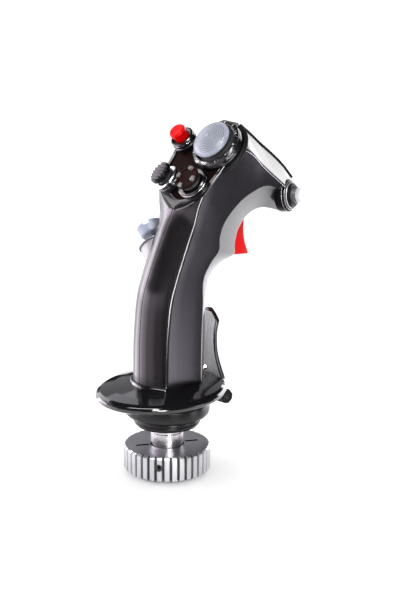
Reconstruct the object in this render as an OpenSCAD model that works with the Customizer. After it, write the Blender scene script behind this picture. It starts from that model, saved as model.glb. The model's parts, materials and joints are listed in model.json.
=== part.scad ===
// Flight joystick grip on a threaded coupling nut.
// Origin: on the coupling's axis, at the nut's bottom face. +Z is up, +Y points to the nose,
// +X is the pilot's right. Millimetres.

/* [Coupling] */
// Outer diameter of the coupling nut
nut_d = 48; // [47:0.5:50]
// Height of the coupling nut
nut_h = 16; // [15.5:0.5:18]
// Number of grip grooves round the nut
nut_grooves = 36; // [24:1:40]
// Minor radius of the coupling thread
thread_r = 17; // [16.5:0.1:17.2]
// Length of the threaded wall
thread_l = 8; // [6:0.5:8]
// Outer radius of the neck tube
neck_r = 9.1; // [8.5:0.1:9.2]

/* [Handrest] */
// Half-width of the oval flange
flange_rx = 32; // [30:0.5:34]
// Half-length of the oval flange over its half-width
flange_aspect = 1.2; // [1.15:0.01:1.25]
// Radius of the upper disc under the flange
upper_disc_r = 23.5; // [22:0.5:24]
// Radius of the lower disc
lower_disc_r = 18.4; // [17:0.2:19]

/* [Shells] */
// Wall thickness of the two shells
wall = 2.4; // [2.2:0.1:2.6]
// Slope of the head panel from level
panel_tilt = 48; // [47:0.5:49]
// Thickness of the head panel plate
panel_t = 1.6; // [1.2:0.1:1.8]
// How far the panel lies below the shells' rim
panel_recess = 0.6; // [0.4:0.1:0.8]

/* [Hats] */
// Diameter of the trim hat's cap
trim_cap_d = 22; // [20:0.5:22]
// Diameter of the target hat's cap
target_cap_d = 14; // [13:0.5:14]
// Diameter of the display hat's cap
display_cap_d = 13; // [12:0.5:13]
// Diameter of the side hat's cap
side_cap_d = 15; // [14:0.5:15]

/* [Buttons and trigger] */
// Diameter of the release button's cap
release_d = 9.4; // [9:0.1:9.6]
// Diameter of the nose button
nose_d = 8.8; // [8:0.1:9]
// Width of the trigger
trigger_w = 8; // [7:0.5:8]
// Width of the paddle lever
paddle_w = 19; // [17:0.5:19]

/* [Hidden] */
$fn = 48;

metal_black = [0.09, 0.085, 0.095];
gloss_black = [0.05, 0.05, 0.055];
warm_black = [0.13, 0.10, 0.09];
rubber_black = [0.03, 0.03, 0.03];
aluminium = [0.62, 0.62, 0.64];
steel = [0.75, 0.75, 0.76];
signal_red = [0.85, 0.04, 0.05];
pale_grey = [0.74, 0.76, 0.80];
blue_grey = [0.42, 0.46, 0.55];
board_green = [0.05, 0.30, 0.14];
brass = [0.80, 0.62, 0.25];

fit = 0.05;      // gap of a running or a seated fit
slack = 0.3;     // gap between parts that move past each other
over = 1;        // how far a cutting solid runs past what it cuts

// ---------------------------------------------------------------- shells: the lofted outside
// One row per station, from the foot to the nose tip. A station is a flat section across the grip:
// [rear Y, rear Z, front Y, front Z, rear flat half-width, rear corner half-width, rear corner depth,
//  front corner half-width, front corner depth, front flat half-width, back roundness, left flare]
STATIONS = [
  [-19.4, 48.0, 17.6, 48.0, 0, 14.3, 7.5, 14.0, 5.0, 10.5, 2.0, 0.0],
  [-19.4, 60.0, 17.6, 59.5, 0, 14.3, 7.5, 14.0, 5.0, 10.5, 2.0, 0.0],
  [-19.0, 80.0, 17.8, 77.0, 0, 14.3, 7.8, 14.0, 5.0, 10.5, 2.0, 0.0],
  [-16.9, 101.0, 18.6, 95.0, 0, 14.3, 8.2, 14.0, 5.0, 10.5, 2.0, 0.0],
  [-12.5, 113.5, 21.8, 108.5, 0, 14.3, 7.8, 14.0, 8.0, 9.5, 2.0, 0.0],
  [-7.5, 124.5, 31.0, 115.3, 0, 14.2, 7.2, 14.0, 12.5, 8.5, 2.0, 0.0],
  [-2.5, 134.5, 41.5, 118.0, 0, 14.2, 6.4, 14.0, 18.0, 8.0, 2.0, 0.3],
  [2.5, 144.0, 42.0, 122.5, 0, 14.2, 5.4, 14.0, 19.0, 8.0, 2.0, 1.0],
  [5.5, 152.5, 42.8, 127.0, 0, 14.6, 4.6, 14.0, 18.5, 8.0, 2.0, 3.5],
  [9.5, 162.5, 44.2, 131.0, 3, 16.0, 5.0, 14.0, 17.0, 8.0, 1.7, 6.5],
  [16.0, 177.0, 46.5, 134.6, 6, 17.6, 8.0, 14.5, 16.0, 8.0, 1.4, 7.5],
  [26.0, 190.0, 49.0, 137.2, 8, 18.6, 10.0, 15.0, 15.5, 8.0, 1.1, 7.0],
  [38.0, 193.0, 53.0, 139.5, 8, 18.6, 16.5, 15.5, 15.0, 8.0, 1.0, 5.0],
  [49.0, 186.0, 57.5, 140.8, 8, 18.2, 18.0, 16.0, 15.0, 8.0, 1.0, 2.5],
  [59.0, 177.6, 62.5, 140.8, 8, 17.8, 16.0, 16.0, 14.0, 8.0, 1.0, 0.5],
  [68.3, 170.2, 68.5, 139.3, 8, 17.0, 14.5, 15.8, 12.0, 8.0, 1.0, 0.0],
  [76.0, 163.4, 74.5, 137.2, 8, 15.8, 12.5, 15.0, 10.5, 8.0, 1.0, 0.0],
  [82.0, 156.8, 79.0, 136.0, 8, 14.6, 9.5, 14.0, 8.5, 8.5, 1.0, 0.0],
  [86.3, 151.6, 83.5, 136.4, 8.5, 13.6, 6.5, 13.2, 6.0, 9.0, 1.0, 0.0],
  [88.6, 147.8, 87.0, 139.0, 9, 12.6, 3.6, 12.3, 3.4, 9.5, 1.0, 0.0],
  [89.3, 145.0, 88.8, 141.8, 10, 11.5, 1.2, 11.3, 1.2, 10.0, 1.0, 0.0]
];
last_station = len(STATIONS) - 1;
hollow_end = 16;     // the cavity stops at this station, short of the nose tip
loft_steps = 2;      // rings from one station to the next
back_steps = 6;      // segments from the rear flat to the rear corner

function row(i) = STATIONS[min(max(i, 0), last_station)];
function spline(a, b, c, d, t) =
  (2 * b + (c - a) * t + (2 * a - 5 * b + 4 * c - d) * t * t + (3 * b - a - 3 * c + d) * t * t * t) / 2;
function station(u) =
  let (i = min(floor(u), last_station - 1), t = u - i)
  spline(row(i - 1), row(i), row(i + 1), row(i + 2), t);

// Half of a section as [half-width, depth from the rear], from the rear centre to the front centre
function half_section(s, flare, inset, centre_x) =
  let (
    depth = norm([s[2] - s[0], s[3] - s[1]]),
    w = flare * s[11],
    flat = s[4] + w * s[4] / 18,
    corner = s[5] + w - inset
  )
  concat(
    [[centre_x, inset]],
    [for (k = [0 : back_steps])
      let (q = k / back_steps)
      [max(flat + (corner - flat) * q, 0.5), inset + s[6] * pow(q, s[10])]],
    [[s[7] + w * 0.6 - inset, depth - s[8] - inset / 3],
     [s[9] + w * 0.3 - inset * 0.7, depth - inset],
     [centre_x, depth - inset]]
  );

// The same points in space; a negative u runs the foot straight down
function ring(u, flare, inset, centre_x) =
  let (
    s = station(max(u, 0)),
    rear = [s[0], s[1]],
    dir = ([s[2], s[3]] - rear) / norm([s[2], s[3]] - rear),
    drop = max(-u, 0)
  )
  [for (p = half_section(s, flare, inset, centre_x))
    [p[0], rear[0] + dir[0] * p[1], rear[1] + dir[1] * p[1] - drop]];

module loft_half(flare, inset, centre_x, u_low, u_high) {
  count = ceil((u_high - u_low) * loft_steps);
  rings = [for (k = [0 : count]) ring(u_low + (u_high - u_low) * k / count, flare, inset, centre_x)];
  n = len(rings[0]);
  points = [for (r = rings) each r];
  sides = [for (k = [0 : count - 1], j = [0 : n - 1])
    let (a = k * n + j, b = k * n + (j + 1) % n)
    each [[a, b + n, b], [a, a + n, b + n]]];
  foot = [for (j = [0 : n - 1]) j];
  tip = [for (j = [0 : n - 1]) count * n + n - 1 - j];
  polyhedron(points, concat(sides, [foot, tip]), convexity = 6);
}

// One hollow half as a single closed skin: outside, cavity, the rim on the parting plane and the foot
module hollow_half(flare) {
  rows_out = last_station * loft_steps;
  rows_in = hollow_end * loft_steps;
  outside = [for (k = [0 : rows_out]) ring(k / loft_steps, flare, 0, 0)];
  cavity = [for (k = [0 : rows_in]) ring(k / loft_steps, flare, wall, 0)];
  m = len(outside[0]);
  base = (rows_out + 1) * m;
  function strip(a, b) = [[a, b + m, b], [a, a + m, b + m]];
  skin = [for (k = [0 : rows_out - 1], j = [0 : m - 2]) each strip(k * m + j, k * m + j + 1)];
  lining = [for (k = [0 : rows_in - 1], j = [0 : m - 2])
    each strip(base + k * m + j + 1, base + k * m + j)];
  rim = [for (k = [0 : rows_in - 1])
    each concat(strip(k * m + m - 1, base + k * m + m - 1), strip(base + k * m, k * m))];
  web = [for (k = [rows_in + 1 : rows_out - 1]) each strip(k * m + m - 1, k * m)];
  foot = [for (j = [0 : m - 2]) each [[j, j + 1, base + j + 1], [j, base + j + 1, base + j]]];
  tip = [for (j = [0 : m - 1]) rows_out * m + m - 1 - j];
  cavity_end = [for (j = [0 : m - 1]) base + rows_in * m + j];
  front = rows_in * m + m - 1;
  rear = rows_in * m;
  front_in = base + front;
  rear_in = base + rear;
  join = [[front, front + m, front_in], [front_in, front + m, rear + m],
    [front_in, rear + m, rear_in], [rear_in, rear + m, rear]];
  points = concat([for (r = outside) each r], [for (r = cavity) each r]);
  polyhedron(points, concat(skin, lining, rim, web, foot, [tip, cavity_end], join), convexity = 8);
}

module inner_half(flare, inset, u_low, u_high) {
  loft_half(flare, inset, -over, u_low, u_high);
}

// ---------------------------------------------------------------- frames of the controls
panel_origin = [0, 9.3, 154];
trim_at = [6.5, 32.8];
target_at = [4, 8.8];
display_at = [-13.9, 7];
release_at = [-19.5, 31.2];
display_rise = 3.4;         // how far the display hat's housing stands above the panel
display_lean = 16;          // lean of the display hat to the left
release_lean = 6;           // extra lean of the release button towards upright
side_at = [-16.3, 6.8, 125.1];
side_polar = 44;            // angle of the side hat's axis from upright
side_azimuth = 170;         // its direction in plan
nose_at = [14, 75.2, 147];
nose_sweep = 20;            // forward sweep of the nose button's axis
nose_raise = 8;             // rise of that axis above level

module on_panel(at, rise = 0) {
  translate(panel_origin) rotate([panel_tilt, 0, 0]) translate([at[0], at[1], rise]) children();
}
module on_trim() {
  on_panel(trim_at) children();
}
module on_target() {
  on_panel(target_at) children();
}
module on_display() {
  on_panel(display_at, display_rise) rotate([0, -display_lean, 0]) children();
}
module on_release() {
  on_panel(release_at) rotate([-release_lean, 0, 0]) children();
}
module on_side() {
  translate(side_at) rotate([0, side_polar, side_azimuth]) children();
}
module on_nose() {
  translate(nose_at) rotate([0, 90 - nose_raise, nose_sweep]) children();
}
module along_x(at, x_low, x_high, r) {
  translate([x_low, at[0], at[1]]) rotate([0, 90, 0]) cylinder(r = r, h = x_high - x_low);
}

// ---------------------------------------------------------------- hat switch mechanism
pivot_depth = 6.5;      // hat pivot below its mounting face
pin_r = 0.8;            // gimbal and cross pin radius
gimbal_r = 4.6;
gimbal_bore = 3.3;
gimbal_h = 2.6;
hub_r = 2.3;
hub_h = 3;
housing_bore = 5.4;
housing_r = 6.7;
trunnion_end = 6.0;
stem_r = 1.5;
switch_t = 1.6;
cup_floor = 6;          // floor of a housing below the pivot
housing_l = 13.2;       // length of a housing below its mounting face

// Origin at the pivot in these three
module gimbal_ring() {
  difference() {
    union() {
      cylinder(r = gimbal_r, h = gimbal_h, center = true);
      rotate([0, 90, 0]) cylinder(r = pin_r, h = 2 * trunnion_end, center = true);
    }
    cylinder(r = gimbal_bore, h = gimbal_h + 2 * over, center = true);
    rotate([90, 0, 0]) cylinder(r = pin_r + fit, h = 2 * (gimbal_r + over), center = true);
  }
}
module hat_hub(stem_l) {
  union() {
    cylinder(r = hub_r, h = hub_h, center = true);
    rotate([90, 0, 0]) cylinder(r = pin_r, h = 2 * (gimbal_r - 0.2), center = true);
    cylinder(r = stem_r, h = stem_l);
  }
}
module cup_cuts(top) {
  translate([0, 0, -cup_floor]) cylinder(r = housing_bore, h = cup_floor + top + over);
  rotate([0, 90, 0]) cylinder(r = pin_r + fit, h = 2 * (trunnion_end + 0.2), center = true);
}
module contact_disc() {
  translate([0, 0, -cup_floor]) {
    difference() {
      cylinder(r = housing_bore - 0.1, h = switch_t);
      for (a = [45 : 90 : 315]) {
        rotate([0, 0, a]) translate([3, 0, switch_t - 0.4]) cylinder(r = 1, h = over);
      }
    }
  }
}

// ---------------------------------------------------------------- fasteners and holes in the shells
// [Y, Z, half-width of the left shell there]
SHELL_SCREWS = [[-9, 66, 13.9], [10, 66, 13.6], [-8.9, 84, 13.4], [60, 156, 15.8]];
screw_head_r = 2.7;
screw_head_h = 2.4;
screw_r = 1.5;
boss_r = 3.6;
screw_reach = 8;

module screw_bosses() {
  for (s = SHELL_SCREWS) {
    along_x([s[0], s[1]], 0, s[2] - 1, boss_r);
  }
}

trigger_pivot = [45, 142];
trigger_pin_r = 1.5;
trigger_hub_r = 4.5;
trigger_boss_r = 3.6;
trigger_boss_end = 9.2;
slot_w = trigger_w + 1.2;

module trigger_slot() {
  rotate([90, 0, 90]) translate([0, 0, -slot_w / 2]) linear_extrude(slot_w)
    polygon([[34, 112], [34, 134], [38, 148.5], [51, 148.5], [56, 144], [56, 112]]);
}
module trigger_bosses() {
  along_x(trigger_pivot, slot_w / 2 + 0.1, trigger_boss_end, trigger_boss_r);
}

plunger_z = 54.6;
plunger_r = 1.6;
bush_r = 2.6;
bush_end = 19;
module along_y(x, z, y_low, y_high, r) {
  translate([x, y_high, z]) rotate([90, 0, 0]) cylinder(r = r, h = y_high - y_low);
}

trim_boss_r = 14.6;
target_collar_r = 9;
side_housing_r = 9.6;
display_housing_r = 7.5;
display_skirt = 4.5;        // height of the display housing's wide upper part
release_base_r = 7;
release_neck_r = 5.2;
release_seat = -1.4;
release_bore_l = 14;         // depth of the bore for the release button's neck and switch
side_plate_r = 10.4;
nose_collar_r = 9;
nose_well_r = 4.8;

module trim_boss(grow) {
  translate([0, 0, -1.5]) cylinder(r = trim_boss_r + grow, h = 4.5);
  translate([0, 0, -6]) cylinder(r1 = 10 + grow, r2 = trim_boss_r + grow, h = 4.5);
  translate([0, 0, -housing_l]) cylinder(r = 8.2 + grow, h = housing_l - 5.8);
}
module display_body(grow, h) {
  translate([0, 0, -housing_l]) cylinder(r = housing_r + grow, h = h);
  translate([0, 0, -display_skirt]) cylinder(r = display_housing_r + grow, h = h - housing_l + display_skirt);
}
module control_holes() {
  on_trim() trim_boss(fit);
  on_target() translate([0, 0, -housing_l]) cylinder(r = housing_r + fit, h = 20);
  on_target() translate([0, 0, -panel_recess]) cylinder(r = target_collar_r + fit, h = 20);
  on_display() display_body(fit, 24);
  on_release() translate([0, 0, -release_bore_l]) cylinder(r = release_neck_r + fit, h = 20);
  on_release() translate([0, 0, release_seat]) cylinder(r = release_base_r + fit, h = 20);
  on_side() translate([0, 0, -housing_l]) cylinder(r = side_housing_r + fit, h = 24);
  on_side() cylinder(r = side_plate_r + fit, h = 12);
  on_nose() translate([0, 0, -4]) cylinder(r = nose_collar_r + fit, h = 24);
  on_nose() translate([0, 0, -12.5]) cylinder(r = nose_well_r, h = 10);
}

module above_panel(rise, h) {
  on_panel([0, 0], rise) translate([-60, -30, 0]) cube([120, 110, h]);
}

module shell_half(flare) {
  difference() {
    union() {
      hollow_half(flare);
      screw_bosses();
      trigger_bosses();
    }
    above_panel(0, 60);
    trigger_slot();
    along_x(trigger_pivot, -over, trigger_boss_end - 0.4, trigger_pin_r + 0.01);
    along_y(0, plunger_z, 10, 30, bush_r + fit);
  }
}

module grip_shell_right() {
  color(metal_black) difference() {
    shell_half(0);
    control_holes();
    for (s = SHELL_SCREWS) {
      along_x([s[0], s[1]], -over, screw_reach + 0.5, screw_r + 0.01);
    }
  }
}
module grip_shell_left() {
  color(metal_black) difference() {
    mirror([1, 0, 0]) shell_half(1);
    control_holes();
    for (s = SHELL_SCREWS) {
      along_x([s[0], s[1]], -s[2], over, screw_r + 0.01);
      along_x([s[0], s[1]], -s[2] - 9, screw_head_h - s[2], screw_head_r + fit);
    }
  }
}

module shell_screw(half_width, reach) {
  union() {
    difference() {
      cylinder(r = screw_head_r, h = screw_head_h);
      translate([0, 0, -over]) cylinder(r = 1.3, h = over + 1.2, $fn = 6);
    }
    cylinder(r = screw_r, h = half_width + reach);
  }
}
module shell_screws() {
  color(steel) for (s = SHELL_SCREWS) {
    translate([-s[2], s[0], s[1]]) rotate([0, 90, 0]) shell_screw(s[2], screw_reach);
  }
}

module head_panel() {
  color(warm_black) difference() {
    intersection() {
      union() {
        inner_half(0, wall + fit, 6, 14);
        mirror([1, 0, 0]) inner_half(1, wall + fit, 6, 14);
      }
      above_panel(-panel_recess - panel_t, panel_t);
    }
    control_holes();
  }
}

// ---------------------------------------------------------------- base: nut, neck, discs, flange
top_plate_z = nut_h - 4;
relief_r = thread_r + 0.6;
groove_w = 1.3;
groove_depth = 1.2;
nut_slots = [64, 244];
set_screw_at = -51;      // its direction round the nut
set_screw_z = 10.3;
set_screw_r = 2;

module coupling_nut() {
  color(aluminium) difference() {
    rotate_extrude($fn = 144) polygon([
      [thread_r + 1, 0], [19.2, 0], [20.6, 1.4], [20.6, 2.2], [nut_d / 2 - 0.6, 2.2],
      [nut_d / 2, 2.8], [nut_d / 2, nut_h - 0.6], [nut_d / 2 - 0.6, nut_h],
      [neck_r + slack, nut_h], [neck_r + slack, top_plate_z], [relief_r, top_plate_z],
      [relief_r, thread_l], [thread_r, thread_l], [thread_r, 0]
    ]);
    for (k = [0 : nut_grooves - 1]) {
      rotate([0, 0, 360 / nut_grooves * (k + 0.5)])
        translate([nut_d / 2 - groove_depth, -groove_w / 2, 2.2 - 0.01]) cube([4, groove_w, nut_h]);
    }
    for (a = nut_slots) {
      rotate([0, 0, a]) translate([10.2, -0.6, nut_h - 1]) cube([6, 1.2, 2]);
    }
    rotate([0, 0, set_screw_at]) translate([0, 0, set_screw_z]) rotate([0, 90, 0])
      cylinder(r = set_screw_r + 0.02, h = nut_d);
  }
}
module nut_set_screw() {
  color(metal_black) rotate([0, 0, set_screw_at]) translate([relief_r + 0.6, 0, set_screw_z])
    rotate([0, 90, 0]) difference() {
      cylinder(r = set_screw_r, h = 4.6);
      translate([0, 0, 2.6]) cylinder(r = 1.15, h = 4, $fn = 6);
    }
}
module neck_tube() {
  color(steel) difference() {
    rotate_extrude($fn = 96) polygon([
      [7, 10.9], [7, 47.5], [neck_r, 47.5], [neck_r, 11.4], [thread_r - 0.1, 11.4],
      [thread_r - 0.1, 8.6], [12, 8.6], [12, 10.9]
    ]);
    translate([0, key_y, 7]) cylinder(r = key_r + 0.01, h = 3);
  }
}
key_y = 14.5;
key_r = 1;
module index_key() {
  color(steel) translate([0, key_y, 8.1]) cylinder(r = key_r, h = 1.9);
}
pin_circle = 6;
pin_angles = [for (k = [0 : 4]) 90 + 72 * k];
module at_pins() {
  for (a = pin_angles) {
    rotate([0, 0, a]) translate([pin_circle, 0, 0]) children();
  }
}
module connector_insert() {
  color(rubber_black) difference() {
    translate([0, 0, 9.3]) cylinder(r = 11.9, h = 1.6);
    at_pins() translate([0, 0, 8]) cylinder(r = 0.51, h = 4);
  }
}
module connector_pins() {
  color(brass) at_pins() translate([0, 0, 8.5]) cylinder(r = 0.5, h = 4);
}
module lower_disc() {
  r = lower_disc_r;
  color(metal_black) rotate_extrude($fn = 96) polygon([
    [neck_r + 0.02, 27.3], [r - 1.8, 27.3], [r - 0.6, 28.2], [r, 29.8], [r, 31.4], [r - 0.8, 33],
    [neck_r + 0.02, 33]
  ]);
}
module upper_disc() {
  r = upper_disc_r;
  color(metal_black) rotate_extrude($fn = 96) polygon([
    [neck_r + 0.02, 33], [r - 4.4, 33], [r - 1.6, 33.9], [r - 0.4, 35.2], [r, 37], [r, 43],
    [r - 0.5, 44], [neck_r + 0.02, 44]
  ]);
}

flange_y = -4;
foot_z = 48;
bead_z = 54.4;           // top of the foot bead at the back; it slopes down to the front
bead_slope = 4;
notch_y = 29.2;
function foot_outline(grow) =
  let (half = half_section(STATIONS[0], 0, -grow, 0), y0 = STATIONS[0][0])
  concat(
    [for (p = half) [p[0], y0 + p[1]]],
    [for (k = [len(half) - 2 : -1 : 1]) [-half[k][0], y0 + half[k][1]]]
  );
module handrest_flange() {
  r = flange_rx;
  color(gloss_black) difference() {
    union() {
      translate([0, flange_y, 0]) scale([1, flange_aspect, 1]) rotate_extrude($fn = 72) polygon([
        [0, 44], [r - 5, 44.1], [r - 2.4, 44.8], [r - 0.7, 46], [r, 47.7], [r - 0.7, 49.3],
        [r - 2.4, 50.4], [r - 8, 51.8], [r - 16, 53], [0, 53.4]
      ]);
      difference() {
        translate([0, 0, 50]) linear_extrude(bead_z - 50) polygon(foot_outline(1.2));
        translate([0, STATIONS[0][0], bead_z]) rotate([-bead_slope, 0, 0]) translate([-30, -5, 0])
          cube([60, 60, 10]);
      }
    }
    translate([0, 0, foot_z]) linear_extrude(20) polygon(foot_outline(fit));
    translate([0, 0, 40]) cylinder(r = neck_r + 0.02, h = 20);
    along_y(0, plunger_z, 10, 30, bush_r + fit);
    translate([-paddle_w / 2 - 1, notch_y, 40]) cube([paddle_w + 2, 20, 20]);
    for (x = BRACKET_SCREW_X) {
      translate([x, BRACKET_SCREW_Y, 42]) cylinder(r = screw_r + 0.01, h = 5.5);
    }
  }
}

// ---------------------------------------------------------------- trigger
module coil(r, wire, turns, length) {
  steps = 12;
  count = turns * steps;
  points = [for (k = [0 : count])
    let (a = k * 360 / steps, z = wire + (length - 2 * wire) * k / count)
    each [for (j = [0 : 5]) let (b = j * 60)
      [(r + wire * cos(b)) * cos(a), (r + wire * cos(b)) * sin(a), z + wire * sin(b)]]];
  sides = [for (k = [0 : count - 1], j = [0 : 5])
    let (p = k * 6 + j, q = k * 6 + (j + 1) % 6)
    each [[p, q + 6, q], [p, p + 6, q + 6]]];
  polyhedron(points, concat(sides, [[for (j = [0 : 5]) j], [for (j = [0 : 5]) count * 6 + 5 - j]]));
}
module side_profile(x_low, x_high) {
  rotate([90, 0, 90]) translate([0, 0, x_low]) linear_extrude(x_high - x_low) children();
}
module trigger() {
  w = trigger_w / 2;
  color(signal_red) difference() {
    union() {
      side_profile(-w, w) polygon([
        [49.2, 143.5], [52.8, 138.6], [51.8, 132.8], [51.8, 127.5], [53.0, 121.8], [55.4, 115.9],
        [54.7, 115.2], [40.6, 116.8], [39.6, 119], [39.2, 130], [40.6, 141]
      ]);
      along_x(trigger_pivot, -w, w, trigger_hub_r);
    }
    along_x(trigger_pivot, -w - over, w + over, trigger_pin_r + fit);
  }
}
module trigger_pin() {
  color(steel) along_x(trigger_pivot, 0.5 - trigger_boss_end, trigger_boss_end - 0.5, trigger_pin_r);
}
trigger_spring_z = 125;
module trigger_spring() {
  color(steel) translate([0, 39, trigger_spring_z]) rotate([90, 0, 0]) coil(2, 0.3, 5, 8.9);
}
module trigger_switch() {
  color(rubber_black) difference() {
    translate([-5, 24.5, 119]) cube([10, 5.5, 12]);
    for (z = [121.2, 128.8]) {
      along_y(0, z, 20, 40, 0.8);
    }
  }
}

// ---------------------------------------------------------------- paddle
paddle_pivot = [36, 37];
paddle_pin_r = 1.5;
BRACKET_SCREW_X = [-5, 5];
BRACKET_SCREW_Y = 27;
module paddle_lever() {
  w = paddle_w / 2;
  color(metal_black) difference() {
    union() {
      intersection() {
        side_profile(-w, w) polygon([
          [31.6, 88], [30.6, 83.2], [29.1, 77.5], [28.8, 71.8], [29.3, 65.9], [30.8, 59.8],
          [33.1, 53.4], [35, 48.3], [36.6, 42], [35.2, 38], [33.2, 41.4], [32.6, 47.3],
          [30.4, 52.6], [28.3, 58.8], [26.8, 65.3], [26.3, 71.8], [26.7, 78.2], [28.2, 84.3],
          [28.8, 88]
        ]);
        translate([0, 60, 0]) rotate([90, 0, 0]) linear_extrude(60) polygon([
          [-6.6, 30], [6.6, 30], [6.6, 45], [w, 48.5], [w, 82.6], [w - 2.4, 84.8], [w - 5.2, 86.8],
          [0, 88], [5.2 - w, 86.8], [2.4 - w, 84.8], [-w, 82.6], [-w, 48.5], [-6.6, 45]
        ]);
      }
      along_x(paddle_pivot, -6.6, 6.6, 4);
    }
    along_x(paddle_pivot, -w, w, paddle_pin_r + fit);
  }
}
module paddle_bracket() {
  color(metal_black) difference() {
    union() {
      translate([-9.4, 14, 40]) cube([18.8, 16.6, 3.8]);
      for (x = [-9.4, 7]) {
        side_profile(x, x + 2.4) polygon([
          [24, 40], [24, 43.8], [31.4, 43.8], [37.6, 41], [39.9, 38], [39.4, 35], [36.6, 33.1],
          [33.4, 34], [30, 40]
        ]);
      }
    }
    translate([0, 0, 30]) cylinder(r = upper_disc_r + fit, h = 20);
    along_x(paddle_pivot, -12, 12, paddle_pin_r + 0.01);
    for (x = BRACKET_SCREW_X) {
      translate([x, BRACKET_SCREW_Y, 38]) cylinder(r = screw_r + 0.01, h = 8);
    }
  }
}
module bracket_screws() {
  color(steel) for (x = BRACKET_SCREW_X) {
    translate([x, BRACKET_SCREW_Y, 0]) difference() {
      union() {
        translate([0, 0, 37.8]) cylinder(r = 2.6, h = 2.2);
        translate([0, 0, 38]) cylinder(r = screw_r, h = 9);
      }
      translate([0, 0, 36]) cylinder(r = 1.2, h = 3, $fn = 6);
    }
  }
}
module paddle_pin() {
  color(steel) along_x(paddle_pivot, -9.4, 9.4, paddle_pin_r);
}
module plunger_bush() {
  color(steel) difference() {
    along_y(0, plunger_z, 14.5, bush_end, bush_r);
    along_y(0, plunger_z, 10, 30, plunger_r + fit);
  }
}
plunger_tip = 28.4;
module paddle_plunger() {
  color(steel) union() {
    along_y(0, plunger_z, 12, plunger_tip, plunger_r);
    along_y(0, plunger_z, plunger_tip - 1.6, plunger_tip, 2);
  }
}
module paddle_spring() {
  color(steel) translate([0, plunger_tip - 1.7, plunger_z]) rotate([90, 0, 0])
    coil(1.95, 0.25, 5, plunger_tip - 1.7 - bush_end - 0.1);
}
module paddle_switch() {
  color(rubber_black) difference() {
    translate([-5, 2, plunger_z - 5]) cube([10, 7, 10]);
    for (z = [-3.4, 3.4]) {
      along_y(0, plunger_z + z, 0, 12, 0.8);
    }
  }
}

// ---------------------------------------------------------------- trim hat
module at_pivot() {
  translate([0, 0, -pivot_depth]) children();
}
cap_z = 7;                // underside of the trim cap above the panel
module trim_hat_cap() {
  r = trim_cap_d / 2;
  color(pale_grey) on_trim() difference() {
    rotate_extrude($fn = 72) polygon([
      [0, cap_z], [r - 0.6, cap_z], [r, cap_z + 0.6], [r, cap_z + 1.6], [r - 1.0, cap_z + 2.6],
      [r - 2.6, cap_z + 3.5], [r - 4.8, cap_z + 4.2], [r - 7.6, cap_z + 4.8], [0, cap_z + 5]
    ]);
    translate([0, 0, cap_z - over]) cylinder(r = stem_r + 0.01, h = over + 2);
  }
}
module trim_hat_stem() {
  color(steel) on_trim() at_pivot() hat_hub(pivot_depth + cap_z + 2);
}
module trim_hat_gimbal() {
  color(steel) on_trim() at_pivot() gimbal_ring();
}
module trim_hat_bezel() {
  r = trim_boss_r;
  color(metal_black) on_trim() rotate_extrude($fn = 72) polygon([
    [11.7, 3], [r, 3], [r, 3.8], [r - 0.9, 4.9], [12.2, 5], [11.7, 4.6]
  ]);
}
module trim_hat_boot() {
  color(rubber_black) on_trim() rotate_extrude($fn = 60) polygon([
    [3.6, 1], [11.3, 1], [11.3, 3.4], [10.2, 4.4], [8, 4.8], [5.4, 4.6], [3.6, 3.6]
  ]);
}
module trim_hat_housing() {
  color(metal_black) on_trim() difference() {
    trim_boss(0);
    translate([0, 0, 1]) cylinder(r = 11.4, h = 10);
    at_pivot() cup_cuts(pivot_depth);
  }
}
module trim_hat_switch() {
  color(board_green) on_trim() at_pivot() contact_disc();
}

// ---------------------------------------------------------------- target hat
target_cap_z = 4.8;
module target_hat_cap() {
  r = target_cap_d / 2;
  color(warm_black) on_target() union() {
    rotate_extrude($fn = 60) polygon([
      [0, target_cap_z], [r - 0.9, target_cap_z], [r, target_cap_z + 0.9],
      [r - 0.2, target_cap_z + 2.0], [r - 1.2, target_cap_z + 2.4], [0, target_cap_z + 2.2]
    ]);
    for (a = [0 : 90 : 270]) {
      rotate([0, 0, a]) translate([r - 2.6, -1.3, target_cap_z + 2]) cube([1.8, 2.6, 1.3]);
    }
    at_pivot() hat_hub(pivot_depth + target_cap_z + 1);
  }
}
module target_hat_gimbal() {
  color(steel) on_target() at_pivot() gimbal_ring();
}
module target_hat_collar() {
  r = target_collar_r;
  color(metal_black) on_target() rotate_extrude($fn = 60) polygon([
    [housing_r + fit, -panel_recess], [r, -panel_recess], [r, 1.8], [r - 0.9, 2.8], [5.8, 2.8],
    [5.8, 1.6], [housing_r + fit, 1.6]
  ]);
}
module target_hat_housing() {
  color(metal_black) on_target() difference() {
    translate([0, 0, -housing_l]) cylinder(r = housing_r, h = housing_l + 1.5);
    at_pivot() cup_cuts(pivot_depth + 1.5);
  }
}
module target_hat_switch() {
  color(board_green) on_target() at_pivot() contact_disc();
}

// ---------------------------------------------------------------- display hat
display_cap_z = 2.6;
module display_hat_cap() {
  r = display_cap_d / 2;
  color(metal_black) on_display() union() {
    difference() {
      rotate_extrude($fn = 60) polygon([
        [0, display_cap_z], [r - 1, display_cap_z], [r, display_cap_z + 1],
        [r, display_cap_z + 3.4], [r - 0.8, display_cap_z + 4.4], [0, display_cap_z + 4.6]
      ]);
      for (k = [-2 : 2]) {
        translate([-r - over, 2.1 * k - 0.5, display_cap_z + 3.4]) cube([2 * (r + over), 1, 3]);
      }
    }
    at_pivot() hat_hub(pivot_depth + display_cap_z + 1);
  }
}
module display_hat_gimbal() {
  color(steel) on_display() at_pivot() gimbal_ring();
}
module display_hat_collar() {
  r = display_housing_r;
  color(steel) on_display() rotate_extrude($fn = 60) polygon([
    [5.8, 0], [r, 0], [r - 0.1, 0.5], [r - 0.6, 0.9], [5.8, 0.9]
  ]);
}
module display_hat_housing() {
  color(metal_black) on_display() difference() {
    display_body(0, housing_l);
    at_pivot() cup_cuts(pivot_depth);
  }
}
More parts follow.
